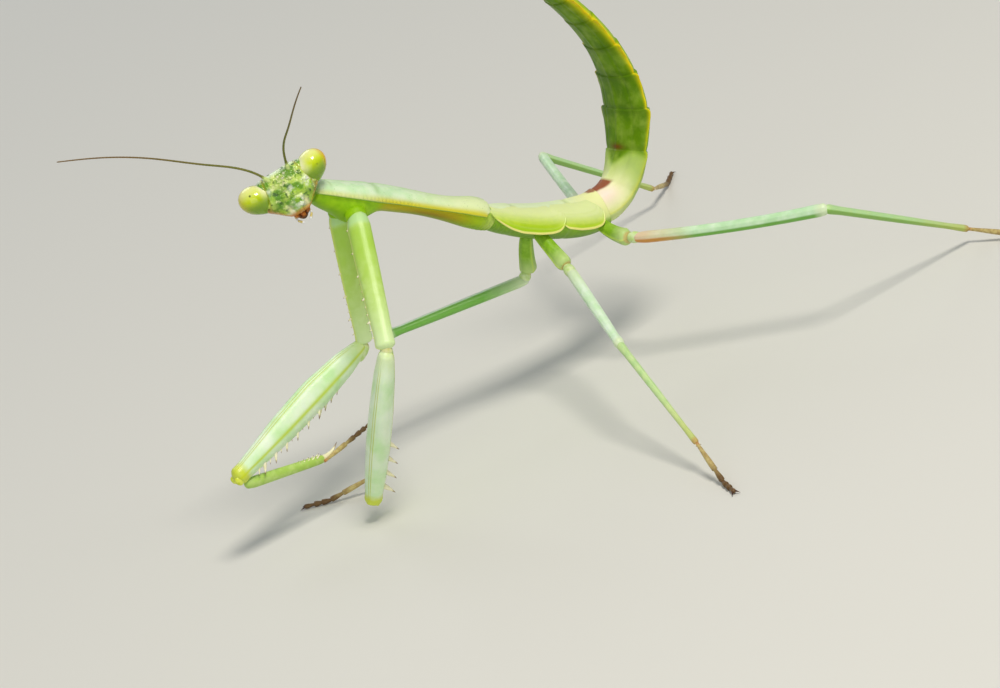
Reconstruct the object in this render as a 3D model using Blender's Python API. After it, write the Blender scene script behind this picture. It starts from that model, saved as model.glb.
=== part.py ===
"""A young praying mantis (Carolina mantis, wingless nymph), life size, standing on four feet.

Every part that a person would name is one closed solid. The mantis faces -Y, its left side
is +X and the floor is z = 0. Sizes are in millimetres and become metres as a mesh is made.
Directions are given as a heading, in degrees from straight ahead round to the mantis's left,
and a pitch, in degrees above the horizontal.
"""
import math

import bmesh
import bpy
from mathutils import Matrix, Vector

MM = 0.001
GAP = 0.12  # the thin cut between two parts that meet

# The bounding box's middle, as measured from the body's own reference point on the floor.
BOX_CENTRE = (0.58, -1.93)

# Thorax: three blocks in one line that climbs from the waist towards the head.
WAIST = Vector((0.0, 2.6, 7.7))
METATHORAX = {"length": 2.6, "pitch": 13}
MESOTHORAX = {"length": 4.75, "pitch": 29}
PROTHORAX = {"length": 10.2, "pitch": 34}

# Abdomen: nine rings that curl up and over. Each is (length, pitch of its run towards the
# tail, half width at its front edge, half width at its hind edge, rise, drop).
ABDOMEN = (
    (1.5, 21, 1.00, 1.25, 1.25, 0.72),
    (2.1, 55, 1.28, 1.70, 1.08, 0.70),
    (2.2, 69, 1.66, 2.02, 0.70, 0.72),
    (1.9, 85, 1.88, 1.75, 0.62, 0.72),
    (1.8, 100, 1.62, 1.50, 0.58, 0.68),
    (1.9, 112, 1.38, 1.32, 0.52, 0.66),
    (1.7, 120, 1.24, 1.20, 0.48, 0.62),
    (1.2, 126, 1.10, 1.02, 0.44, 0.56),
    (1.1, 130, 0.88, 0.50, 0.38, 0.46),
)
CERCUS = {"length": 1.7, "splay": 24, "radius": 0.25}

# Wing pads: a blunt flap on each side of the two hind blocks of the thorax.
PAD_CENTRE = (1.47, -0.07)  # outward, and up, from the block's middle line
PAD_DROOP = 59              # degrees that the flap hangs below the horizontal
PAD_HALF_THICKNESS = 0.25

# Head: looks over the mantis's left shoulder with that eye raised.
HEAD_CENTRE = Vector((0.32, -14.24, 17.84))
HEAD_HEADING = 62
HEAD_PITCH = 17
HEAD_TILT = 11
EYE = {"out": 1.60, "up": -0.04, "radii": (0.72, 0.76, 0.81), "cut": 1.06, "lean": 20}
ANTENNA_RADII = (0.27, 0.26, 0.25)

# Walking legs: lengths are shared by left and right.
MID_LEG = {"coxa": 1.9, "femur": 8.1, "tibia": 7.2, "tarsus": 4.3}
HIND_LEG = {"coxa": 1.95, "femur": 10.6, "tibia": 10.6, "tarsus": 5.2}
FEMUR_RADII = (0.32, 0.42, 0.33, 0.28, 0.33)
TIBIA_RADII = (0.27, 0.25, 0.25, 0.25)
TARSUS_RADIUS = 0.25
FOOT_HEIGHT = 0.2  # a foot's middle line above the floor: its underside is cut flat at z = 0

# Pose of the walking legs: coxa and femur as (heading, pitch), tibia and tarsus as headings.
WALKING_LEGS = {
    "left_mid": dict(body="mesothorax", sizes=MID_LEG, base=(1.10, -1.80, 8.10),
                     coxa=(81, -37), femur=(67, -14), tibia=75, ankle=1.5, tarsus=71),
    "right_mid": dict(body="mesothorax", sizes=MID_LEG, base=(-1.15, -1.80, 7.95),
                      coxa=(-60, -80), femur=(-17, 3), tibia=17, ankle=0.9, tarsus=-48),
    "left_hind": dict(body="metathorax", sizes=HIND_LEG, base=(1.15, 1.80, 6.86),
                      coxa=(88, 1), femur=(122, -2), tibia=188, ankle=0.8, tarsus=110),
    "right_hind": dict(body="metathorax", sizes=HIND_LEG, base=(-1.22, 1.60, 6.78),
                       coxa=(-142, 9), femur=(-115, 2), tibia=-159, ankle=1.2, tarsus=-138),
}

# Forelegs: the catching legs. "edge" is the heading that the coxa's toothed edge faces,
# "under" is the way that the femur's spined underside faces, and "open" is the angle
# between the closing tibia and the femur.
FORELEG = {"coxa": 7.2, "trochanter": 1.0, "femur": 8.7, "tibia": 4.4, "tarsus": 3.6}
FORELEGS = {
    "left": dict(base=(0.93, -11.45, 14.45), coxa=(52, -44), edge=-29, femur=(-72, -61),
                 under=(-138, 13), open=10.5, tarsus=(110, 60), side=1),
    "right": dict(base=(-0.80, -11.30, 14.45), coxa=(-69, -78), edge=0, femur=(-3, -17),
                  under=(0, -90), open=26, tarsus=(-172, 4), side=-1),
}

COLOURS = {
    "green": ((0.42, 0.62, 0.12, 1), 0.45),
    "pale_green": ((0.55, 0.75, 0.35, 1), 0.45),
    "eye_green": ((0.62, 0.70, 0.08, 1), 0.15),
    "brown": ((0.35, 0.16, 0.05, 1), 0.5),
    "olive": ((0.30, 0.26, 0.10, 1), 0.5),
}


def clear_scene():
    for thing in list(bpy.data.objects):
        bpy.data.objects.remove(thing, do_unlink=True)


def make_material(name):
    """A plain Principled material with one of the body's colours."""
    colour, roughness = COLOURS[name]
    material = bpy.data.materials.new(name)
    material.use_nodes = True
    shader = material.node_tree.nodes["Principled BSDF"]
    shader.inputs["Base Color"].default_value = colour
    shader.inputs["Roughness"].default_value = roughness
    shader.inputs["Metallic"].default_value = 0.0
    return material


def toward(heading, pitch):
    """Unit vector for a heading (from straight ahead round to the left) and a pitch."""
    h, p = math.radians(heading), math.radians(pitch)
    return Vector((math.sin(h) * math.cos(p), -math.cos(h) * math.cos(p), math.sin(p)))


def square_to(vector, axis):
    """The unit part of a vector that stands square to an axis."""
    return (vector - axis * vector.dot(axis)).normalized()


def add_object(name, mesh, material, parent, collection):
    mesh.materials.append(material)
    part = bpy.data.objects.new(name, mesh)
    part.parent = parent
    collection.objects.link(part)
    return part


def ring(centre, side, up, half_width, rise, drop, count=12, edge=1.0):
    """An oval of points whose upper and lower halves may differ; edge > 1 sharpens its sides."""
    points = []
    for k in range(count):
        angle = 2 * math.pi * (k + 0.5 * (count % 4 == 2)) / count
        across, lift = math.cos(angle), math.sin(angle)
        height = (rise if lift > 0 else drop) * math.copysign(abs(lift) ** edge, lift)
        points.append(centre + side * (half_width * across) + up * height)
    return points


def loft(name, material, rings, parent, collection):
    """One closed solid through a row of rings with equal numbers of points."""
    shape = bmesh.new()
    rows = [[shape.verts.new(point * MM) for point in points] for points in rings]
    count = len(rows[0])
    for first, second in zip(rows, rows[1:]):
        for k in range(count):
            shape.faces.new((first[k], first[(k + 1) % count],
                             second[(k + 1) % count], second[k]))
    shape.faces.new(rows[0])
    shape.faces.new(rows[-1])
    bmesh.ops.triangulate(shape, faces=shape.faces[:])
    bmesh.ops.recalc_face_normals(shape, faces=shape.faces[:])
    mesh = bpy.data.meshes.new(name)
    shape.to_mesh(mesh)
    shape.free()
    mesh.shade_smooth()
    return add_object(name, mesh, material, parent, collection)


def tube(name, material, points, radii, parent, collection):
    """A round limb or feeler: a poly curve whose bevel follows a radius at each point."""
    curve = bpy.data.curves.new(name, "CURVE")
    curve.dimensions = "3D"
    curve.bevel_depth = MM
    curve.bevel_resolution = 2
    curve.use_fill_caps = True
    spline = curve.splines.new("POLY")
    spline.points.add(len(points) - 1)
    for knot, point, radius in zip(spline.points, points, radii):
        knot.co = (*(point * MM), 1.0)
        knot.radius = radius
    return add_object(name, curve, material, parent, collection)


def as_mesh(part):
    """Swap a curve object for the mesh that it draws, with its end caps welded on."""
    graph = bpy.context.evaluated_depsgraph_get()
    mesh = bpy.data.meshes.new_from_object(part.evaluated_get(graph))
    shape = bmesh.new()
    shape.from_mesh(mesh)
    bmesh.ops.remove_doubles(shape, verts=shape.verts[:], dist=0.01 * MM)
    shape.to_mesh(mesh)
    shape.free()
    name, parent, collection = part.name, part.parent, part.users_collection[0]
    bpy.data.objects.remove(part, do_unlink=True)
    solid = bpy.data.objects.new(name, mesh)
    solid.parent = parent
    collection.objects.link(solid)
    return solid


def slice_off(part, point, normal):
    """Cut away the side of a mesh that the normal points away from, and close the cut."""
    shape = bmesh.new()
    shape.from_mesh(part.data)
    whole = shape.verts[:] + shape.edges[:] + shape.faces[:]
    cut = bmesh.ops.bisect_plane(shape, geom=whole, plane_co=point * MM, plane_no=normal,
                                 clear_inner=True)
    rim = [piece for piece in cut["geom_cut"] if isinstance(piece, bmesh.types.BMEdge)]
    bmesh.ops.contextual_create(shape, geom=rim)
    bmesh.ops.triangulate(shape, faces=shape.faces[:])
    bmesh.ops.recalc_face_normals(shape, faces=shape.faces[:])
    shape.to_mesh(part.data)
    shape.free()


def add_spines(part, spines, cutters):
    """Join a row of cones to a part; each is (root, direction, length, radius)."""
    shape = bmesh.new()
    for root, way, length, radius in spines:
        turn = way.to_track_quat("Z", "Y").to_matrix().to_4x4()
        place = Matrix.Translation((root + way * (length / 2)) * MM) @ turn
        bmesh.ops.create_cone(shape, cap_ends=True, cap_tris=False, segments=5,
                              radius1=radius * MM, radius2=0.15 * radius * MM,
                              depth=length * MM, matrix=place)
    mesh = bpy.data.meshes.new(part.name + "_spines")
    shape.to_mesh(mesh)
    shape.free()
    row = bpy.data.objects.new(mesh.name, mesh)
    row.parent = part.parent
    row.hide_render = True
    row.display_type = "WIRE"
    cutters.objects.link(row)
    union = part.modifiers.new("spines", "BOOLEAN")
    union.operation = "UNION"
    union.object = row


def carve(part, body_name, cutters):
    """Trim a part back so that it stops one thin cut short of the body part it grows from."""
    body = bpy.data.objects[body_name]
    cutter = bpy.data.objects.new(part.name + "_clearance", body.data.copy())
    cutter.parent = body.parent
    cutter.hide_render = True
    cutter.display_type = "WIRE"
    cutters.objects.link(cutter)
    swell = bmesh.new()
    swell.from_mesh(cutter.data)
    swell.normal_update()
    for vert in swell.verts:
        vert.co += vert.normal * (GAP * MM)
    swell.to_mesh(cutter.data)
    swell.free()
    trim = part.modifiers.new("clearance", "BOOLEAN")
    trim.operation = "DIFFERENCE"
    trim.object = cutter


def pull_back(one, other, radius):
    """Distance that a tube ends before a joint, so that it just clears the next tube."""
    return GAP / 2 + radius * math.tan(one.angle(other) / 2)


def body_block(name, material, start, end, faces, stations, parent, collection, edge=1.0):
    """A length of the body. Stations are (share of its length, half width, rise, drop).

    faces holds the directions that the two end cuts face, so that neighbours meet on one
    plane; the cuts stand half a gap inside the joint.
    """
    side = Vector((1, 0, 0))
    rings = []
    for share, half_width, rise, drop in stations:
        normal = faces[0].lerp(faces[1], share).normalized()
        inset = GAP / 2 * (1 - 2 * share) if share in (0, 1) else 0
        centre = start.lerp(end, share) + normal * inset
        up = normal.cross(side)
        if up.dot(Vector((0, 0, 1))) + up.dot(Vector((0, -1, 0))) < 0:
            up = -up
        rings.append(ring(centre, side, up, half_width, rise, drop, 12, edge))
    return loft(name, material, rings, parent, collection)


def chain(start, runs):
    """The joints of a row of straight runs, each a (length, direction)."""
    joints = [start]
    for length, way in runs:
        joints.append(joints[-1] + way * length)
    return joints


def meeting_planes(joints):
    """At each joint, the direction half way between the runs that meet there."""
    ways = [(b - a).normalized() for a, b in zip(joints, joints[1:])]
    between = [(a + b).normalized() for a, b in zip(ways, ways[1:])]
    return [ways[0], *between, ways[-1]]


def waist_plane():
    """The forward direction that the cut between thorax and abdomen faces."""
    return (toward(0, METATHORAX["pitch"]) - toward(180, ABDOMEN[0][1])).normalized()


def build_thorax(paint, root, parts):
    """Pronotum, mesothorax and metathorax, from the waist forward, with four wing pads."""
    blocks = (METATHORAX, MESOTHORAX, PROTHORAX)
    joints = chain(WAIST, [(b["length"], toward(0, b["pitch"])) for b in blocks])
    planes = [waist_plane(), *meeting_planes(joints)[1:]]
    stations = (
        ((0, 0.98, 1.25, 0.80), (0.5, 1.02, 1.15, 0.92), (1, 0.98, 0.98, 0.95)),
        ((0, 0.98, 0.95, 0.95), (0.4, 1.0, 0.85, 0.98), (0.8, 0.92, 0.75, 0.80),
         (1, 0.8, 0.68, 0.70)),
        ((0, 0.88, 0.68, 0.75), (0.15, 0.80, 0.70, 0.62), (0.42, 0.70, 0.74, 0.46),
         (0.62, 0.84, 0.74, 0.60), (0.74, 1.08, 0.75, 0.95), (0.88, 0.98, 0.74, 0.88),
         (0.97, 0.84, 0.72, 0.74), (1, 0.74, 0.62, 0.62)),
    )
    for k, name in enumerate(("metathorax", "mesothorax", "pronotum")):
        body_block(name, paint["green"], joints[k], joints[k + 1], planes[k:k + 2],
                   stations[k], root, parts, edge=1.1)

    pads = {"fore": (1, ((0.98, 0.15), (0.85, 0.36), (0.6, 0.62), (0.33, 0.70), (0.14, 0.50))),
            "hind": (0, ((1.12, 0.32), (0.92, 0.52), (0.55, 0.64), (0.22, 0.55), (0.1, 0.3)))}
    for pair, (k, outline) in pads.items():
        start, end = joints[k], joints[k + 1]
        ahead = (end - start).normalized()
        up = ahead.cross(Vector((-1, 0, 0)))
        up = up if up.z > 0 else -up
        droop = math.radians(PAD_DROOP)
        for name, hand in (("left", 1), ("right", -1)):
            out = Vector((hand, 0, 0))
            across = out * math.cos(droop) - up * math.sin(droop)
            skyward = out * math.sin(droop) + up * math.cos(droop)
            rings = []
            for share, half_width in outline:
                centre = start.lerp(end, share) + out * PAD_CENTRE[0] + up * PAD_CENTRE[1]
                rings.append(ring(centre, across, skyward, half_width, PAD_HALF_THICKNESS,
                                  PAD_HALF_THICKNESS, 10))
            loft(f"wing_pad_{pair}_{name}", paint["green"], rings, root, parts)
    return joints[-1]


def build_abdomen(paint, root, parts):
    """Nine rings curling up from the waist, each a little wider at its hind edge, and cerci."""
    runs = [(length, toward(180, pitch)) for length, pitch, *_ in ABDOMEN]
    joints = chain(WAIST, runs)
    planes = [-waist_plane(), *meeting_planes(joints)[1:]]
    for k, (_, _, front, hind, rise, drop) in enumerate(ABDOMEN):
        last = k == len(ABDOMEN) - 1
        after = ABDOMEN[min(k + 1, len(ABDOMEN) - 1)]
        shrink = 0.5 if last else 1.0
        stations = ((0, front, rise, drop), (0.55, front * 0.35 + hind * 0.65, rise, drop),
                    (1, hind, after[4] * shrink, after[5] * shrink))
        body_block(f"abdomen_{k + 1}", paint["green"], joints[k], joints[k + 1],
                   planes[k:k + 2], stations, root, parts, edge=1.35)

    way = runs[-1][1]
    for name, hand in (("left", 1), ("right", -1)):
        splay = math.radians(CERCUS["splay"])
        out = (way * math.cos(splay) + Vector((hand, 0, 0)) * math.sin(splay)).normalized()
        root_point = joints[-1] + way * GAP + Vector((hand * 0.34, 0, 0))
        points = [root_point + out * (CERCUS["length"] * s) for s in (0, 0.3, 0.7, 1)]
        radii = [CERCUS["radius"] * s for s in (0.9, 1.1, 1.0, 0.45)]
        tube(f"cercus_{name}", paint["green"], points, radii, root, parts)


def build_head(paint, root, parts, neck_start):
    """Head, eyes, mouthparts and antennae in the head's own frame, and the neck behind it.

    The head's frame has x to its left, y backwards and z up.
    """
    ahead = toward(HEAD_HEADING, HEAD_PITCH)
    left = Vector((0, 0, 1)).cross(ahead).normalized()
    turn = Matrix((left, -ahead, ahead.cross(left))).transposed()
    tilt = Matrix.Rotation(math.radians(HEAD_TILT), 3, ahead)
    skull = bpy.data.objects.new("head_frame", None)
    skull.parent = root
    skull.matrix_local = Matrix.Translation(HEAD_CENTRE * MM) @ (tilt @ turn).to_4x4()
    parts.objects.link(skull)

    side, front = Vector((1, 0, 0)), Vector((0, -1, 0))
    stations = ((0.60, 0.92, 0.25, 0.35), (0.50, 0.96, 0.46, 0.60), (0.12, 0.96, 0.62, 0.78),
                (-0.45, 0.96, 0.66, 0.70), (-0.95, 0.98, 0.60, 0.52), (-1.35, 0.78, 0.50, 0.42),
                (-1.72, 0.46, 0.38, 0.34))
    rings = [ring(Vector((0, 0, z)), side, front, wide, fore, aft, 14)
             for z, wide, fore, aft in stations]
    loft("head", paint["green"], rings, skull, parts)

    low = ((-1.72 - GAP, 0.40, 0.34, 0.32), (-2.0, 0.38, 0.34, 0.30), (-2.32, 0.24, 0.22, 0.22))
    rings = [ring(Vector((0, 0, z)), side, front, wide, fore, aft, 8)
             for z, wide, fore, aft in low]
    loft("mouthparts", paint["brown"], rings, skull, parts)

    for name, hand in (("left", 1), ("right", -1)):
        ball = bmesh.new()
        bmesh.ops.create_uvsphere(ball, u_segments=16, v_segments=10, radius=MM)
        lean = Matrix.Rotation(math.radians(hand * EYE["lean"]), 4, "Y")
        place = Matrix.Translation(Vector((hand * EYE["out"], 0, EYE["up"])) * MM)
        bmesh.ops.transform(ball, matrix=place @ lean @ Matrix.Diagonal((*EYE["radii"], 1)),
                            verts=ball.verts[:])
        mesh = bpy.data.meshes.new("eye_" + name)
        ball.to_mesh(mesh)
        ball.free()
        mesh.shade_smooth()
        eye = add_object("eye_" + name, mesh, paint["eye_green"], skull, parts)
        slice_off(eye, Vector((hand * EYE["cut"], 0, 0)), Vector((hand, 0, 0)))

    feelers = {
        "left": ((0.60, -0.50, 0.66), (0.95, -1.5, 1.25), (1.6, -3.4, 1.9), (2.3, -5.6, 2.5),
                 (2.8, -7.4, 2.9), (3.2, -9.0, 3.2)),
        "right": ((-0.60, -0.50, 0.66), (-1.30, -0.9, 1.55), (-2.6, -1.3, 2.6),
                  (-4.6, -1.8, 4.2), (-6.6, -2.2, 5.5), (-8.6, -2.6, 6.5)),
    }
    for name, route in feelers.items():
        knots = [Vector(point) for point in route]
        base, tip = knots[:4], [knots[3] + (knots[4] - knots[3]).normalized() * GAP, *knots[4:]]
        tube(f"antenna_{name}_base", paint["olive"], base, (*ANTENNA_RADII, 0.25), skull, parts)
        tube(f"antenna_{name}_tip", paint["olive"], tip, (0.25, 0.25, 0.25), skull, parts)

    start = neck_start + toward(0, PROTHORAX["pitch"]) * (GAP / 2)
    behind = HEAD_CENTRE + Vector((-0.25, 0.95, -0.62))
    points = [start, start.lerp(behind, 0.5), behind]
    tube("neck", paint["green"], points, (0.42, 0.45, 0.40), root, parts)


def build_foreleg(name, pose, paint, root, parts, cutters):
    """Coxa, trochanter, spined femur, hooked tibia and thin tarsus of one catching leg."""
    sizes = FORELEG
    hand = pose["side"]
    down, thigh = toward(*pose["coxa"]), toward(*pose["femur"])
    under = square_to(toward(*pose["under"]), thigh)
    outer = thigh.cross(under)
    outer = outer if outer.x * hand > 0 else -outer

    shoulder = Vector(pose["base"]) - down * 0.35
    elbow = Vector(pose["base"]) + down * sizes["coxa"]
    edge = square_to(toward(pose["edge"], 0), down)
    facing = down.cross(edge)
    stations = ((0, 0.48, 0.40), (0.08, 0.60, 0.46), (0.35, 0.59, 0.42), (0.75, 0.53, 0.38),
                (0.95, 0.46, 0.34), (1, 0.34, 0.28))
    end = elbow - down * 0.25
    rings = [ring(shoulder.lerp(end, s), facing, edge, thick, deep, deep, 10)
             for s, deep, thick in stations]
    coxa = loft(f"foreleg_{name}_coxa", paint["pale_green"], rings, root, parts)
    carve(coxa, "pronotum", cutters)
    teeth = [(shoulder.lerp(end, 0.16 + 0.13 * k) + edge * 0.46, edge, 0.32, 0.10)
             for k in range(6)]
    add_spines(coxa, teeth, cutters)

    knob = elbow + thigh * sizes["trochanter"]
    points = [elbow - thigh * 0.05, elbow.lerp(knob, 0.5), knob - thigh * (GAP / 2)]
    tube(f"foreleg_{name}_trochanter", paint["pale_green"], points, (0.26, 0.40, 0.42),
         root, parts)

    knee = knob + thigh * sizes["femur"]
    start = knob + thigh * (GAP / 2)
    stations = ((0, 0.44, 0.52, 0.34), (0.10, 0.68, 0.80, 0.46), (0.35, 0.80, 0.98, 0.59),
                (0.60, 0.74, 0.86, 0.56), (0.85, 0.56, 0.60, 0.45), (0.94, 0.50, 0.50, 0.40),
                (0.985, 0.46, 0.46, 0.40), (1, 0.28, 0.28, 0.26))
    rings = [ring(start.lerp(knee, s), outer, under, thick, deep, back, 12)
             for s, deep, back, thick in stations]
    femur = loft(f"foreleg_{name}_femur", paint["pale_green"], rings, root, parts)
    lean = (under * 0.80 + thigh * 0.60).normalized()
    spines = []
    for k in range(4):
        spot = start.lerp(knee, 0.51 + 0.105 * k) + outer * 0.34 + under * 0.28
        spines.append((spot, (lean + outer * 0.55).normalized(), 0.80, 0.16))
    for k in range(7):
        spot = start.lerp(knee, 0.32 + 0.085 * k) - outer * 0.30 + under * 0.28
        spines.append((spot, (lean - outer * 0.55).normalized(), 0.66 + 0.14 * (k % 2), 0.13))
    for k in range(3):
        spot = start.lerp(knee, 0.18 + 0.06 * k) + under * 0.40
        spines.append((spot, lean, 0.7 + 0.1 * k, 0.14))
    add_spines(femur, spines, cutters)

    opening = math.radians(pose["open"])
    shin = (under * math.sin(opening) - thigh * math.cos(opening)).normalized()
    inward = square_to(-under, shin)
    hinge = knee - thigh * 0.22 + under * 0.82
    ankle = hinge + shin * sizes["tibia"]
    stations = ((0, 0.26, 0.25), (0.12, 0.34, 0.27), (0.50, 0.30, 0.26), (0.88, 0.27, 0.25),
                (1, 0.25, 0.24))
    rings = [ring(hinge.lerp(ankle, s), outer, inward, thick, deep, deep, 8)
             for s, deep, thick in stations]
    hook = [(0.35, 0.10, 0.22), (0.70, 0.34, 0.15), (0.95, 0.66, 0.06)]
    for onward, bend, radius in hook:
        centre = ankle + shin * onward + inward * bend
        slope = (shin + inward * (bend * 1.3)).normalized()
        rings.append(ring(centre, outer, square_to(inward, slope), radius, radius, radius, 8))
    tibia = loft(f"foreleg_{name}_tibia", paint["pale_green"], rings, root, parts)
    lean = (inward * 0.5 + shin * 0.85).normalized()
    spines = [(hinge.lerp(ankle, 0.22 + 0.09 * k) + inward * 0.16, lean, 0.36, 0.11)
              for k in range(7)]
    add_spines(tibia, spines, cutters)

    start = ankle - outer * 0.58 - shin * 0.10
    stretch = toward(*pose["tarsus"])
    points = [start + stretch * (sizes["tarsus"] * s) for s in (0, 0.33, 0.66, 1)]
    tube(f"foreleg_{name}_tarsus", paint["olive"], points, (0.25, 0.26, 0.25, 0.25),
         root, parts)


def build_walking_leg(name, pose, paint, root, parts, cutters):
    """Coxa, femur, tibia and tarsus of one walking leg; the tarsus lies flat on the floor."""
    sizes = pose["sizes"]
    base = Vector(pose["base"])
    hip_way, thigh = toward(*pose["coxa"]), toward(*pose["femur"])
    hip = base + hip_way * sizes["coxa"]
    knee = hip + thigh * sizes["femur"]
    fall = math.degrees(math.asin((knee.z - pose["ankle"]) / sizes["tibia"]))
    shin = toward(pose["tibia"], -fall)
    ankle = knee + shin * sizes["tibia"]
    tread = Vector((0, 0, FOOT_HEIGHT - pose["ankle"]))
    reach = math.sqrt(sizes["tarsus"] ** 2 - tread.z ** 2)
    foot = ankle + toward(pose["tarsus"], 0) * reach + tread

    inside = Vector((base.x * 0.45, base.y, base.z + 0.65))
    pull = pull_back(hip_way, thigh, 0.33)
    points = [inside, base, base.lerp(hip, 0.55), hip - hip_way * pull]
    coxa = as_mesh(tube(f"{name}_coxa", paint["green"], points, (0.40, 0.46, 0.50, 0.36),
                        root, parts))
    carve(coxa, pose["body"], cutters)

    bend = pull_back(thigh, shin, 0.30)
    start, end = hip + thigh * pull, knee - thigh * bend
    points = [start.lerp(end, share) for share in (0, 0.06, 0.5, 0.9, 1)]
    tube(f"{name}_femur", paint["green"], points, FEMUR_RADII, root, parts)

    ball = ankle.lerp(foot, 0.62)
    ball.z = FOOT_HEIGHT + 0.05
    onward = (ball - ankle).normalized()
    turn = pull_back(shin, onward, TARSUS_RADIUS)
    start, end = knee + shin * bend, ankle - shin * turn
    points = [start.lerp(end, share) for share in (0, 0.1, 0.6, 1)]
    tube(f"{name}_tibia", paint["green"], points, TIBIA_RADII, root, parts)

    start = ankle + onward * turn
    points = [start, start.lerp(ball, 0.5), ball, foot - (foot - ball).normalized() * 0.3, foot]
    radii = [TARSUS_RADIUS * share for share in (1.0, 1.0, 1.0, 1.15, 1.0)]
    curve = tube(f"{name}_tarsus", paint["brown"], points, radii, root, parts)
    slice_off(as_mesh(curve), Vector((0, 0, 0)), Vector((0, 0, 1)))


def build():
    clear_scene()
    paint = {name: make_material(name) for name in COLOURS}
    parts = bpy.data.collections.new("praying_mantis")
    cutters = bpy.data.collections.new("cutters")
    bpy.context.scene.collection.children.link(parts)
    bpy.context.scene.collection.children.link(cutters)
    root = bpy.data.objects.new("mantis_root", None)
    parts.objects.link(root)

    neck_start = build_thorax(paint, root, parts)
    build_abdomen(paint, root, parts)
    build_head(paint, root, parts, neck_start)
    for name, pose in FORELEGS.items():
        build_foreleg(name, pose, paint, root, parts, cutters)
    for name, pose in WALKING_LEGS.items():
        build_walking_leg(name, pose, paint, root, parts, cutters)
    root.location = (-BOX_CENTRE[0] * MM, -BOX_CENTRE[1] * MM, 0)


build()
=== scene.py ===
"""A young Carolina mantis, life size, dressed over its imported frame.

Sizes are in millimetres until a mesh is made. The mantis faces -Y, its left side is +X and it
stands on z = 0. Headings turn from straight ahead round to its left, and pitches rise from the
horizontal.
"""

import bpy
import numpy as np
from mathutils import Matrix, Vector


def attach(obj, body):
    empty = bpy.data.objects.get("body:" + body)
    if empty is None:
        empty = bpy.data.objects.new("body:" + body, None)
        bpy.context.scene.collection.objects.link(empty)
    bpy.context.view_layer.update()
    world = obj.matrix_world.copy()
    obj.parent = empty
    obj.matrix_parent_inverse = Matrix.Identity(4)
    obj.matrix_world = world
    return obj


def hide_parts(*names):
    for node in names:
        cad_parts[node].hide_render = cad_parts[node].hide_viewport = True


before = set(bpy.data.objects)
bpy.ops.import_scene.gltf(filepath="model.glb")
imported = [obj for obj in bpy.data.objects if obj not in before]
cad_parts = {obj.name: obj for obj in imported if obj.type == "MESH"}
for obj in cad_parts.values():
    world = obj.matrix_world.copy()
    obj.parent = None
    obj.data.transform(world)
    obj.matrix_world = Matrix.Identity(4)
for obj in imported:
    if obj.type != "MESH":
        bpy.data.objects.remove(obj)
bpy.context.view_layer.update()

# ------------------------------
# Abdomen. Nine rings of thin, flexible cuticle: a broad plate above and one below, folded
# together along a toothed yellow edge. Each ring's hind rim laps over the next, and soft
# skin joins them, so they are dressed as one skin.
# ------------------------------
MM = 0.001
MIDDLE = np.array([-0.58, 1.93, 0.0])  # the body's own reference point on the floor
UPWARD = np.array([0, 0, 1.0])


def spline(x, knots, values):
    """Natural cubic spline: cubics that meet with one slope and one bend, unbent at both ends."""
    flat = values.reshape(len(knots), -1)
    gap = np.diff(knots)
    inner = np.arange(1, len(knots) - 1)
    system = np.eye(len(knots))
    system[inner, inner - 1] = gap[:-1]
    system[inner, inner] = 2 * (gap[:-1] + gap[1:])
    system[inner, inner + 1] = gap[1:]
    load = np.zeros_like(flat)
    load[1:-1] = 6 * np.diff(np.diff(flat, axis=0) / gap[:, None], axis=0)
    bend = np.linalg.solve(system, load)
    cell = np.clip(np.searchsorted(knots, x) - 1, 0, len(gap) - 1)
    h, a, b = (v[:, None] for v in (gap[cell], knots[cell + 1] - x, x - knots[cell]))
    curve = (bend[cell] * a ** 3 + bend[cell + 1] * b ** 3) / (6 * h)
    curve += (flat[cell] / h - bend[cell] * h / 6) * a
    curve += (flat[cell + 1] / h - bend[cell + 1] * h / 6) * b
    return curve.reshape(len(x), *values.shape[1:])


def drawn(x, table):
    """The columns of a table, read at x on splines through its rows."""
    table = np.array(table)
    return spline(x, table[:, 0], table[:, 1:]).T


def unit(vectors):
    """Vectors scaled to length one."""
    return vectors / np.linalg.norm(vectors, axis=-1, keepdims=True)


def hump(x, centre, width):
    """A bell: 1 at its centre, 1/e at one width from it."""
    return np.exp(-((x - centre) / width) ** 2)


def ease(x, low, high):
    """A smooth step: 0 below the low value, 1 above the high one, 3t^2 - 2t^3 between."""
    t = np.clip((x - low) / (high - low), 0, 1)
    return t * t * (3 - 2 * t)


def circle(count):
    """Angles round a section: 0 on the mantis's left, a quarter turn on its back."""
    return np.linspace(0, 2 * np.pi, count, endpoint=False)


def sweep(path, side, up, wide, rise, drop, angles, edge=1.0):
    """Ovals carried along a path: x = wide cos a; z = rise or drop times sin a to a power.

    An edge power above 1 draws the oval's sides out to a sharper edge.
    """
    lift = np.sign(np.sin(angles)) * np.abs(np.sin(angles)) ** edge
    height = np.where(lift > 0, rise[:, None] * lift, drop[:, None] * lift)
    across = wide[:, None] * np.cos(angles)
    return path[:, None] + side[:, None] * across[..., None] + up[:, None] * height[..., None]


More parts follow.
